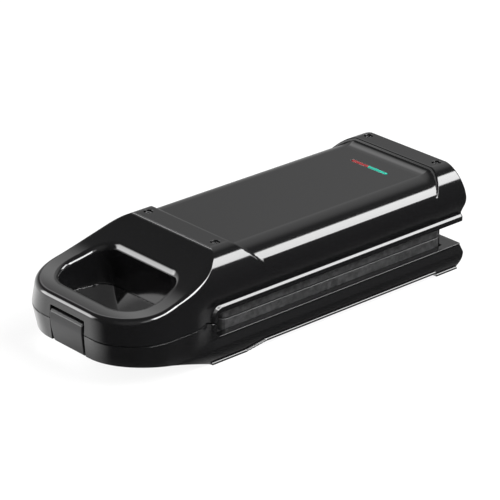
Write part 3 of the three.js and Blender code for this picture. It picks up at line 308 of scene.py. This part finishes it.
def lower_field(x, y, z):
    """The base's shell: its outside first, then bosses, ledge, seam, hinge ears and holes."""
    bottom = (bottom_height(y) - z) * lean(bottom_height, y)
    body = soft_max(sides(x, y, z), bottom, MOUTH_EDGE)
    shelf_height = bottom_height(y) + PLINTH_HEIGHT
    past = np.abs(x) - half_width(shelf_height) - PLINTH_OUT
    shelf = z - shelf_height
    plinth = soft_max(past, (past + shelf) / math.sqrt(2), PLINTH_EDGE)
    plinth = soft_max(plinth, np.maximum(BASE_FLAT - y, y - REAR + PLINTH_END), FILLET)
    body = np.minimum(body, soft_max(np.maximum(plinth, shelf - PLINTH_DEPTH), bottom, FINE_EDGE))
    body = soft_max(body, y - REAR, REAR_RADIUS)
    body = soft_max(body, -opening(x, y, z), OPEN_EDGE)
    body = soft_max(body, -latch_recess(x, y, z), MOUTH_EDGE)
    body = hollowed(body, y)
    for sx, sy in SCREWS:
        body = np.minimum(body, rod(x, y, z, (sx, sy), BOSS_RADIUS, *BASE_BOSS))
    ledge_end = (LEDGE_HALF, REAR - LEDGE_CLEAR, LEDGE_HIGH)
    rear_ledge = block(x, y, z, (-LEDGE_HALF, LEDGE_FRONT, LEDGE_LOW), ledge_end, LEDGE_EDGE)
    side_start = (LEDGE_INNER, GAP + LEDGE_CLEAR, LEDGE_LOW)
    side_ledge = block(np.abs(x), y, z, side_start, ledge_end, LEDGE_EDGE)
    body = np.minimum(body, np.minimum(rear_ledge, side_ledge))
    pad = rod(x, z, y, (0, GLAND_Z), GLAND_PAD, PAD_START, PAD_END)
    body = np.minimum(body, np.maximum(pad, PAD_FLOOR - z))
    seam = z - SEAM + SEAM_GAP / 2 + SEAM_DROP * np.clip((y - GAP + SEAM_RUN) / SEAM_RUN, 0, 1)
    gap = soft_max(GAP - y, RIM - z, GAP_RADIUS)
    body = soft_max(body, np.maximum(seam, -gap), SEAM_EDGE + RIM_EDGE * ease((y - GAP) / RIM_EDGE_RUN))
    for side in (-1, 1):
        low, high = sorted((side * EAR_START, side * EAR_END))
        eye = rod(y, z, x, (HINGE_Y, HINGE_Z), HINGE_RADIUS, low, high, EDGE)
        foot = block(x, y, z, (low, HINGE_Y - HINGE_RADIUS, EAR_FOOT),
                     (high, HINGE_Y + HINGE_RADIUS, HINGE_Z), EDGE)
        body = np.minimum(body, soft_min(eye, foot, EDGE))
    for sx, sy in SCREWS:
        recess = rod(x, y, z, (sx, sy), SCREW_RECESS, BASE - THROUGH, BASE + SCREW_DEPTH)
        body = soft_max(body, -recess, EDGE)
        body = np.maximum(body, -rod(x, y, z, (sx, sy), SCREW_HOLE, BASE, BASE + THROUGH))
    for sx, sy in FEET:
        body = soft_max(body, -rod(x, y, z, (sx, sy), FOOT_SEAT, BASE - THROUGH, FOOT_SEAT_TOP), FINE_EDGE)
    seat = rod(x, z, y, (0, GLAND_Z), GLAND_SEAT, SEAT_START, REAR + THROUGH)
    body = soft_max(body, -seat, FILLET)
    body = np.maximum(body, -rod(x, z, y, (0, GLAND_Z), GLAND_HOLE, REAR - THROUGH, REAR))
    return np.maximum(body, -hinge_hole(x, y, z))


def latch_field(x, y, z):
    """A plate with a chamfered top, leaning back and narrowing below, with a hook and a knuckle."""
    below = np.clip((LATCH_BEND - z) / (LATCH_BEND - HOOK_BOTTOM), 0, 1)
    y = y - LATCH_LEAN * below ** LEAN_POWER
    half = LATCH_HALF - LATCH_TAPER * below ** 2
    face = LATCH_FACE + LATCH_SET_BACK * ease((z - SET_BACK_START) / SET_BACK_RUN)
    plate = soft_max(face - y, z - LATCH_TOP, FILLET)
    plate = soft_max(plate, (z - LATCH_TOP + face - y + LATCH_CHAMFER) / math.sqrt(2), FILLET)
    plate = soft_max(plate, HOOK_BOTTOM - z, LATCH_TOE_EDGE)
    thick = np.maximum(y - LATCH_BACK, SEAM - z)
    thin = y - LATCH_BACK + LATCH_THINNING
    hook = np.maximum(y - HOOK_END, z - HOOK_TOP)
    plate = soft_max(plate, soft_min(soft_min(thick, thin, FILLET), hook, FILLET), FINE_EDGE)
    plate = soft_max(plate, np.abs(x) - half, LATCH_SIDE_EDGE)
    pin = (LATCH_PIN_Y, LATCH_PIN_Z)
    knuckle = rod(y, z, x, pin, LATCH_KNUCKLE, -LATCH_HALF, LATCH_HALF, FINE_EDGE)
    hole = rod(y, z, x, pin, LATCH_PIN_HOLE, -PAST_SIDES, PAST_SIDES)
    return np.maximum(np.minimum(plate, knuckle), -hole)


def lens_field(start, end):
    """A lens between two places along x: crowned, with shallow ribs across it."""
    def field(x, y, z):
        crown = LENS_TOP - LENS_CROWN * ((y - SLOT_Y) / LENS_HALF) ** 2
        crown = crown + LENS_RIB * np.cos(x * 2 * math.pi / LENS_RIB_PITCH)
        wall = soft_max(np.abs(y - SLOT_Y) - LENS_HALF, np.maximum(start - x, x - end), LENS_CORNER)
        return np.maximum(soft_max(wall, z - crown, LENS_EDGE), LENS_BOTTOM - z)
    return field


def screw_field(x, y, z):
    """A pan head screw with a cross recess, its top at the origin."""
    dome = z + DOME_FALL * (x * x + y * y)
    head = soft_max(rod(x, y, z, (0, 0), SCREW_HEAD, -HEAD_DEPTH, THROUGH), dome, FILLET)
    screw = np.minimum(head, rod(x, y, z, (0, 0), SCREW_SHANK, -SCREW_LENGTH, -HEAD_SEAT))
    for half_x, half_y in ((CROSS_REACH, CROSS_HALF), (CROSS_HALF, CROSS_REACH)):
        arm = block(x, y, z, (-half_x, -half_y, -CROSS_DEPTH), (half_x, half_y, THROUGH), CROSS_CORNER)
        screw = soft_max(screw, -arm, CROSS_EDGE)
    return screw


# Meshes

COARSE = 1.0


def spaced(*spans):
    """Grid lines over spans of (start, end, step)."""
    lines = []
    for start, end, step in spans:
        count = max(1, round((end - start) / step / COARSE))
        lines.append(np.linspace(start, end, count, endpoint=False))
    return np.concatenate(lines + [[spans[-1][1]]])


def mirrored(*spans):
    half = spaced(*spans)
    return np.concatenate([-half[:0:-1], half])


def gradient(field, points, step):
    slopes = []
    for axis in range(3):
        shift = np.zeros(3)
        shift[axis] = step
        ahead = field(*(points + shift).T)
        behind = field(*(points - shift).T)
        slopes.append((ahead - behind) / (2 * step))
    return np.stack(slopes, 1)


FIT_STEP, LEAST_SLOPE, MOST_MOVE = 0.05, 0.05, 0.5


def skin(field, xs, ys, zs, soft=0.25):
    """Vertices, quads and normals of a field's surface: one vertex for each cell that it crosses."""
    lines = [axis.astype(np.float32) for axis in (xs, ys, zs)]
    values = field(*np.meshgrid(*lines, indexing="ij", sparse=True))
    values = np.broadcast_to(values, (len(xs), len(ys), len(zs)))
    inside = values < 0
    corners = [(a, b, c) for a in (0, 1) for b in (0, 1) for c in (0, 1)]
    size = [len(xs) - 1, len(ys) - 1, len(zs) - 1]

    def shifted(array, corner):
        a, b, c = corner
        return array[a:a + size[0], b:b + size[1], c:c + size[2]]
    count = sum(shifted(inside, corner).astype(np.int8) for corner in corners)
    cells = np.argwhere((count > 0) & (count < 8))
    ids = np.full(size, -1)
    ids[tuple(cells.T)] = np.arange(len(cells))
    lines = (xs, ys, zs)
    total = np.zeros((len(cells), 3))
    crossed = np.zeros(len(cells))
    for corner in corners:
        for axis in range(3):
            if corner[axis]:
                continue
            first = cells + corner
            second = first.copy()
            second[:, axis] += 1
            a, b = values[tuple(first.T)], values[tuple(second.T)]
            cross = (a < 0) != (b < 0)
            share = np.where(cross, a / np.where(cross, a - b, 1), 0)
            here = np.stack([lines[n][first[:, n]] for n in range(3)], 1)
            here[:, axis] += share * (lines[axis][second[:, axis]] - here[:, axis])
            total += here * cross[:, None]
            crossed += cross
    points = total / crossed[:, None]
    low = np.stack([lines[n][cells[:, n]] for n in range(3)], 1)
    high = np.stack([lines[n][cells[:, n] + 1] for n in range(3)], 1)
    slope = gradient(field, points, FIT_STEP)
    for _ in range(2):
        off = field(*points.T)
        move = slope * (off / np.maximum((slope ** 2).sum(1), LEAST_SLOPE))[:, None]
        points = np.clip(points - np.clip(move, -MOST_MOVE, MOST_MOVE), low, high)
    normals = gradient(field, points, soft)
    normals /= np.maximum(np.linalg.norm(normals, axis=1), 1e-9)[:, None]
    quads = []
    for axis in range(3):
        u, w = (axis + 1) % 3, (axis + 2) % 3
        start = [slice(1, -1)] * 3
        start[axis] = slice(0, -1)
        end = list(start)
        end[axis] = slice(1, None)
        here = np.argwhere(inside[tuple(start)] != inside[tuple(end)])
        offset = np.ones(3, int)
        offset[axis] = 0
        here = here + offset
        around = []
        for du, dw in ((-1, -1), (0, -1), (0, 0), (-1, 0)):
            cell = here.copy()
            cell[:, u] += du
            cell[:, w] += dw
            around.append(ids[tuple(cell.T)])
        quad = np.stack(around, 1)
        outward = inside[tuple(here.T)]
        quads.append(np.where(outward[:, None], quad, quad[:, ::-1]))
    return points, np.concatenate(quads), normals


def piece(name, points, quads, normals, body, slot, replaced, material):
    """A mesh piece from millimetre points, riding on a body."""
    mesh = bpy.data.meshes.new(name)
    mesh.vertices.add(len(points))
    mesh.vertices.foreach_set("co", (points * MM).astype(np.float32).ravel())
    mesh.loops.add(quads.size)
    mesh.loops.foreach_set("vertex_index", quads.astype(np.int32).ravel())
    mesh.polygons.add(len(quads))
    mesh.polygons.foreach_set("loop_start", np.arange(0, quads.size, 4, dtype=np.int32))
    mesh.polygons.foreach_set("use_smooth", np.ones(len(quads), bool))
    mesh.update(calc_edges=True)
    mesh.normals_split_custom_set_from_vertices(normals.astype(np.float32))
    obj = bpy.data.objects.new(name, mesh)
    bpy.context.scene.collection.objects.link(obj)
    mesh.materials.append(material)
    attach(obj, body)
    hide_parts(replaced)
    return obj


def rounded(node, width, segments=2):
    """Rounds the edges of a CAD node's own mesh."""
    bevel = frame["nodes"][node].modifiers.new("edges", "BEVEL")
    bevel.width = width * MM
    bevel.segments = segments
    bevel.limit_method = "ANGLE"
    bevel.angle_limit = math.radians(35)


# Materials

def shader(name, **values):
    """A material and its node tree, with values set on the shader's own sockets."""
    material = bpy.data.materials.new(name)
    material.use_nodes = True
    tree = material.node_tree
    bsdf = tree.nodes["Principled BSDF"]
    for key, value in values.items():
        bsdf.inputs[key.replace("_", " ").title() if key != "IOR" else key].default_value = value
    return material, tree, bsdf


def moulded(name, colour, roughness, spread=0.03, grain=0.02, scale=900.0):
    """Moulded plastic: a faint grain in the gloss and the surface."""
    material, tree, bsdf = shader(name, base_color=(*colour, 1), roughness=roughness)
    nodes, links = tree.nodes, tree.links
    place = nodes.new("ShaderNodeTexCoord")
    noise = nodes.new("ShaderNodeTexNoise")
    noise.inputs["Scale"].default_value = scale
    noise.inputs["Detail"].default_value = 3
    links.new(place.outputs["Object"], noise.inputs["Vector"])
    cloud = nodes.new("ShaderNodeTexNoise")
    cloud.inputs["Scale"].default_value = 14
    links.new(place.outputs["Object"], cloud.inputs["Vector"])
    gloss = nodes.new("ShaderNodeMapRange")
    gloss.inputs["To Min"].default_value = roughness - spread
    gloss.inputs["To Max"].default_value = roughness + spread
    links.new(cloud.outputs["Fac"], gloss.inputs["Value"])
    links.new(gloss.outputs["Result"], bsdf.inputs["Roughness"])
    bump = nodes.new("ShaderNodeBump")
    bump.inputs["Strength"].default_value = grain
    bump.inputs["Distance"].default_value = 0.0002
    links.new(noise.outputs["Fac"], bump.inputs["Height"])
    links.new(bump.outputs["Normal"], bsdf.inputs["Normal"])
    return material


housing_black = moulded("housing_black", (0.0035, 0.0035, 0.0037), 0.085, spread=0.015)
frame_black = moulded("frame_black", (0.012, 0.012, 0.012), 0.55)
latch_black = moulded("latch_black", (0.01, 0.01, 0.0105), 0.3)
rubber_black = moulded("rubber_black", (0.01, 0.01, 0.01), 0.8)
plate_coat = moulded("plate_coat", (0.03, 0.03, 0.031), 0.45, spread=0.1, grain=0.6, scale=700)
bare_steel = moulded("bare_steel", (0.5, 0.5, 0.51), 0.3)
dark_steel = moulded("dark_steel", (0.1, 0.1, 0.102), 0.3)
ceramic_white = moulded("ceramic_white", (0.75, 0.72, 0.66), 0.6)
red_clear = moulded("red_clear", (0.2, 0.012, 0.014), 0.12)
green_clear = moulded("green_clear", (0.007, 0.29, 0.21), 0.12)
lamp_clear = moulded("lamp_clear", (0.8, 0.72, 0.6), 0.1)
latch_black.node_tree.nodes["Principled BSDF"].inputs["Specular IOR Level"].default_value = 0.3
for metal in (bare_steel, dark_steel):
    metal.node_tree.nodes["Principled BSDF"].inputs["Metallic"].default_value = 1


def mottled_with_painted_shading(material, dark, light, painted_bands):
    """Mottles a coated casting, and paints lines of shade and highlight across it; each band is a height,
    its half thickness and its colour.
    """
    tree = material.node_tree
    nodes, links = tree.nodes, tree.links
    place = nodes.new("ShaderNodeTexCoord")
    spots = nodes.new("ShaderNodeTexNoise")
    spots.inputs["Scale"].default_value = 260
    spots.inputs["Detail"].default_value = 5
    links.new(place.outputs["Object"], spots.inputs["Vector"])
    ramp = nodes.new("ShaderNodeValToRGB")
    ramp.color_ramp.elements[0].position = 0.35
    ramp.color_ramp.elements[0].color = (*dark, 1)
    ramp.color_ramp.elements[1].position = 0.7
    ramp.color_ramp.elements[1].color = (*light, 1)
    links.new(spots.outputs["Fac"], ramp.inputs["Fac"])
    parts = nodes.new("ShaderNodeSeparateXYZ")
    links.new(place.outputs["Object"], parts.inputs["Vector"])
    colour = ramp.outputs["Color"]
    # Each band paints a line of shade, or of highlight, into the colour at its height
    for level, reach, tint in painted_bands:
        near = nodes.new("ShaderNodeMath")
        near.operation = "COMPARE"
        near.inputs[1].default_value = level * MM
        near.inputs[2].default_value = reach * MM
        links.new(parts.outputs["Z"], near.inputs[0])
        layer = nodes.new("ShaderNodeMixRGB")
        layer.inputs["Color2"].default_value = (*tint, 1)
        links.new(near.outputs["Value"], layer.inputs["Fac"])
        links.new(colour, layer.inputs["Color1"])
        colour = layer.outputs["Color"]
    links.new(colour, tree.nodes["Principled BSDF"].inputs["Base Color"])


# Painted shade and painted highlight at the plates' parting: a dark line where the gap between the plates
# lies in shade, and a light line along the lower plate's top edge where it catches the light
parting_shade, parting_highlight = (32.75, 0.55, (0.003, 0.003, 0.003)), (31.95, 0.25, (0.14, 0.14, 0.142))
mottled_with_painted_shading(plate_coat, (0.012, 0.012, 0.0123), (0.045, 0.045, 0.046), (parting_shade, parting_highlight))

slot_material = {
    "housing": housing_black, "latch": latch_black, "frame": frame_black, "plate": plate_coat,
    "heater": bare_steel, "sheet": bare_steel, "steel": bare_steel, "dark_screw": dark_steel,
    "ceramic": ceramic_white, "rubber": rubber_black, "red_lens": red_clear, "green_lens": green_clear,
    "lamp": lamp_clear,
}
for part in frame["record"]["subparts"]:
    node = frame["nodes"][part["node"]]
    node.data.materials.clear()
    node.data.materials.append(slot_material[part["material_slot"]])

# Housings, on grid lines that lie closer where an edge or a bend runs
grid_x = mirrored((0, 18, 2), (18, 24.5, 0.5), (24.5, 35, 1.5), (35, 47, 0.5), (47, 58.5, 1.2),
                  (58.5, 66, 0.35), (66, 75, 0.6))
grid_y = spaced((-188.5, -178, 0.6), (-178, -120, 1.2), (-120, -100, 0.8), (-100, -81, 0.5),
                (-81, -77, 0.25), (-77, -54, 0.5), (-54, 130, 3.2), (130, 146, 0.55), (146, 156, 1.2),
                (156, 189.5, 0.5))
upper_z = spaced((29.5, 36, 1), (36, 52, 0.45), (52, 60, 1), (60, 76, 0.9), (76, 88, 0.5),
                 (88, 90.5, 0.5), (90.5, 94.5, 0.3))
lower_z = spaced((0, 7.5, 0.3), (7.5, 8, 0.5), (8, 16, 1.2), (16, 26, 0.45), (26, 36, 1.4), (36, 43.5, 0.45))
upper_skin = skin(upper_field, grid_x, grid_y, upper_z)
lower_skin = skin(lower_field, grid_x, grid_y, lower_z)
piece("upper_shell", *upper_skin, "lid", "housing", "upper_housing", housing_black)
piece("lower_shell", *lower_skin, "base", "housing", "lower_housing", housing_black)

# Latch
latch_x = mirrored((0, 17, 1.5), (17, 20.6, 0.3))
latch_y = spaced((-188.4, -181.6, 0.35), (-181.6, -175, 0.6))
latch_z = spaced((22, 26, 0.35), (26, 41, 1.5), (41, 52.4, 0.4))
latch_skin = skin(latch_field, latch_x, latch_y, latch_z, 0.15)
piece("latch_cover", *latch_skin, "latch", "latch", "latch", latch_black)

# Lenses
lens_y = spaced((135.5, 140, 0.2))
lens_z = spaced((84, 88.5, 0.9), (88.5, 90.4, 0.2))
for colour, start, end, material in (("red", -17.6, 1.25, red_clear), ("green", 1.65, 22.9, green_clear)):
    lens_x = spaced((start - 0.5, end + 0.5, 0.25))
    mesh = skin(lens_field(start, end), lens_x, lens_y, lens_z, 0.1)
    piece(colour + "_window", *mesh, "lid", colour + "_lens", colour + "_lens", material)

# Screws: turned over under the base
screw_x = mirrored((0, 4, 0.25))
screw_z = spaced((-10, -2, 1.2), (-2, 0.5, 0.2))
points, quads, normals = skin(screw_field, screw_x, screw_x, screw_z, 0.08)
for body, side, height in (("lid", 1, LID_SCREW_TOP), ("base", -1, BASE_SCREW_TOP)):
    turn = np.array([1, side, side])
    for place, (sx, sy) in zip(("front_left", "front_right", "rear_left", "rear_right"), SCREWS):
        piece(body + "_screw_head_" + place, points * turn + (sx, sy, height), quads, normals * turn,
              body, "dark_screw", body + "_screw_" + place, dark_steel)

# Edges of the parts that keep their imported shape
for level in ("lower", "upper"):
    rounded(level + "_baking_plate", 0.5)
    rounded(level + "_frame", 0.4, 1)
for place in ("front_left", "front_right", "rear_left", "rear_right"):
    rounded("foot_" + place, 0.5)
rounded("inlet_gland", 0.5)
rounded("hinge_pin", 0.3)

# Camera, at the photograph's angle
azimuth, elevation, distance = math.radians(48.126), math.radians(24.073), 2.166
target = Vector((-0.00015, 0.00483, 0.05089))
level_back = Vector((math.sin(azimuth), -math.cos(azimuth), 0))
back = level_back * math.cos(elevation) + Vector((0, 0, math.sin(elevation)))
camera = bpy.data.objects.new("camera", bpy.data.cameras.new("camera"))
bpy.context.scene.collection.objects.link(camera)
camera.data.sensor_width = 36
camera.data.lens = 190.12
camera.data.clip_start = 0.05
camera.data.clip_end = 50
camera.location = target + back * distance
camera.rotation_mode = "QUATERNION"
camera.rotation_quaternion = (-back).to_track_quat("-Z", "Y")
bpy.context.scene.camera = camera

# Floor
FLOOR_REACH = 6.0
FLOOR_GLOW, FLOOR_SHADE, PATCH_GLOW = 0.89, 0.11, 0.55
PATCH_INNER, PATCH_OUTER = 0.06, 0.09
floor_mesh = bpy.data.meshes.new("floor")
ends = (-FLOOR_REACH, FLOOR_REACH)
floor_corners = [(ends[0], ends[0], 0), (ends[1], ends[0], 0), (ends[1], ends[1], 0), (ends[0], ends[1], 0)]
floor_mesh.from_pydata(floor_corners, [], [(0, 1, 2, 3)])
floor = bpy.data.objects.new("floor", floor_mesh)
bpy.context.scene.collection.objects.link(floor)
floor_white, floor_tree, floor_bsdf = shader("floor_white", base_color=(0.8, 0.8, 0.8, 1), roughness=0.9)
floor_mesh.materials.append(floor_white)
floor_nodes, floor_links = floor_tree.nodes, floor_tree.links
floor_rays = floor_nodes.new("ShaderNodeLightPath")
white_all = (1, 1, 1, 1)

# The camera sees a pale glow with the object's soft shadow on it
floor_glow = floor_nodes.new("ShaderNodeEmission")
floor_glow.inputs["Color"].default_value = white_all
floor_glow.inputs["Strength"].default_value = FLOOR_GLOW
floor_dim = floor_nodes.new("ShaderNodeBsdfDiffuse")
floor_dim.inputs["Color"].default_value = (FLOOR_SHADE, FLOOR_SHADE, FLOOR_SHADE, 1)
floor_sum = floor_nodes.new("ShaderNodeAddShader")
floor_seen = floor_nodes.new("ShaderNodeMixShader")
floor_links.new(floor_glow.outputs["Emission"], floor_sum.inputs[0])
floor_links.new(floor_dim.outputs["BSDF"], floor_sum.inputs[1])
floor_links.new(floor_rays.outputs["Is Camera Ray"], floor_seen.inputs["Fac"])
floor_links.new(floor_bsdf.outputs["BSDF"], floor_seen.inputs[1])
floor_links.new(floor_sum.outputs["Shader"], floor_seen.inputs[2])

# The gloss sees the studio through it, but for a bright round patch under the handle's opening
floor_through = floor_nodes.new("ShaderNodeBsdfTransparent")
floor_patch = floor_nodes.new("ShaderNodeEmission")
floor_patch.inputs["Color"].default_value = white_all
floor_patch.inputs["Strength"].default_value = PATCH_GLOW
floor_place = floor_nodes.new("ShaderNodeTexCoord")
floor_under = floor_nodes.new("ShaderNodeVectorMath")
floor_under.operation = "DISTANCE"
floor_under.inputs[1].default_value = (0, (OPEN_FRONT + OPEN_REAR) / 2 * MM, 0)
floor_lit = floor_nodes.new("ShaderNodeMapRange")
floor_lit.inputs["From Min"].default_value = PATCH_OUTER
floor_lit.inputs["From Max"].default_value = PATCH_INNER
floor_gloss = floor_nodes.new("ShaderNodeMixShader")
floor_links.new(floor_place.outputs["Object"], floor_under.inputs[0])
floor_links.new(floor_under.outputs["Value"], floor_lit.inputs["Value"])
floor_links.new(floor_lit.outputs["Result"], floor_gloss.inputs["Fac"])
floor_links.new(floor_through.outputs["BSDF"], floor_gloss.inputs[1])
floor_links.new(floor_patch.outputs["Emission"], floor_gloss.inputs[2])

floor_mirror = floor_nodes.new("ShaderNodeMixShader")
floor_links.new(floor_rays.outputs["Is Glossy Ray"], floor_mirror.inputs["Fac"])
floor_links.new(floor_seen.outputs["Shader"], floor_mirror.inputs[1])
floor_links.new(floor_gloss.outputs["Shader"], floor_mirror.inputs[2])
floor_links.new(floor_mirror.outputs["Shader"], floor_nodes["Material Output"].inputs["Surface"])

# Light: a studio whose panels and glows each lie in one direction; the camera sees plain white
BASE_LEVEL, DARK_SIDE = 0.145, 0.08
scene = bpy.context.scene
scene.view_settings.view_transform = "Standard"
world = bpy.data.worlds.new("studio")
scene.world = world
world.use_nodes = True
nodes, links = world.node_tree.nodes, world.node_tree.links
sight = nodes.new("ShaderNodeTexCoord")


def heading(azimuth, elevation):
    """The direction at an azimuth, from the front round to the right, and an elevation."""
    a, e = math.radians(azimuth), math.radians(elevation)
    return Vector((math.sin(a) * math.cos(e), -math.cos(a) * math.cos(e), math.sin(e)))


def along(axis):
    """How far a ray's direction lies along an axis."""
    node = nodes.new("ShaderNodeVectorMath")
    node.operation = "DOT_PRODUCT"
    node.inputs[1].default_value = axis
    links.new(sight.outputs["Generated"], node.inputs[0])
    return node.outputs["Value"]


def math_node(operation, first, second=None):
    node = nodes.new("ShaderNodeMath")
    node.operation = operation
    for socket, value in zip(node.inputs, (first, second)):
        if isinstance(value, (int, float)):
            socket.default_value = value
        elif value is not None:
            links.new(value, socket)
    return node.outputs["Value"]


def fade(value, outer, inner, power):
    """Rises smoothly from nothing at outer to the power at inner."""
    node = nodes.new("ShaderNodeMapRange")
    node.interpolation_type = "SMOOTHSTEP"
    node.inputs["From Min"].default_value = outer
    node.inputs["From Max"].default_value = inner
    node.inputs["To Max"].default_value = power
    links.new(value, node.inputs["Value"])
    return node.outputs["Result"]


def glow(azimuth, elevation, inner, outer, power):
    """A round glow in one direction; inner and outer are angles from its middle."""
    outer_cos, inner_cos = (math.cos(math.radians(a)) for a in (outer, inner))
    return fade(along(heading(azimuth, elevation)), outer_cos, inner_cos, power)


def panel(azimuth, elevation, half_width, half_height, soft, power, turn):
    """A rectangular softbox in one direction, its edges soft, turned about its own middle."""
    middle = heading(azimuth, elevation)
    level = Vector((0, 0, 1)).cross(middle).normalized()
    rise = middle.cross(level)
    t = math.radians(turn)
    ahead = along(middle)
    light = math_node("GREATER_THAN", ahead, 0.0)
    for axis, half, top in ((level * math.cos(t) + rise * math.sin(t), half_width, power),
                            (rise * math.cos(t) - level * math.sin(t), half_height, 1.0)):
        off = math_node("ABSOLUTE", math_node("DIVIDE", along(axis), ahead))
        outer_tan, inner_tan = (math.tan(math.radians(half + a)) for a in (soft / 2, -soft / 2))
        light = math_node("MULTIPLY", light, fade(off, outer_tan, inner_tan, top))
    return light


# A panel's middle, half width, half height, soft edge, power and turn; a glow's middle, inner and outer
# angle and power
studio = [
    panel(154.3, 43.8, 9.0, 12.0, 1.8, 15.5, 34),
    panel(-52, 18, 14, 15, 12.0, 9.5, 0),
    panel(104, 41, 15, 12, 4.0, 23.0, 0),
    glow(-136, -4, 3, 14, 0.35),
    glow(180, -12, 5, 30, 0.12),
    glow(76, 36, 2, 16, 2.5),
    glow(126, 47, 3, 9, 12.0),
    glow(45, 38, 5, 42, 0.3),
    glow(-150, -43, 4, 14, 0.5),
    glow(-146, 42, 0, 24, 0.65),
    glow(-119, 36, 2, 13, 1.15),
    glow(-128, 20, 4, 20, 0.27),
    glow(-70, -22, 5, 60, 1.7),
]
level = math_node("SUBTRACT", BASE_LEVEL, glow(72, -22, 45, 115, DARK_SIDE))
for light in studio:
    level = math_node("ADD", level, light)
surroundings = nodes["Background"]
surroundings.inputs["Color"].default_value = white_all
links.new(level, surroundings.inputs["Strength"])
white = nodes.new("ShaderNodeBackground")
white.inputs["Color"].default_value = white_all
white.inputs["Strength"].default_value = 1.0
rays = nodes.new("ShaderNodeLightPath")
seen = math_node("MAXIMUM", rays.outputs["Is Camera Ray"], rays.outputs["Is Transmission Ray"])
mix = nodes.new("ShaderNodeMixShader")
links.new(seen, mix.inputs["Fac"])
links.new(surroundings.outputs["Background"], mix.inputs[1])
links.new(white.outputs["Background"], mix.inputs[2])
links.new(mix.outputs["Shader"], nodes["World Output"].inputs["Surface"])
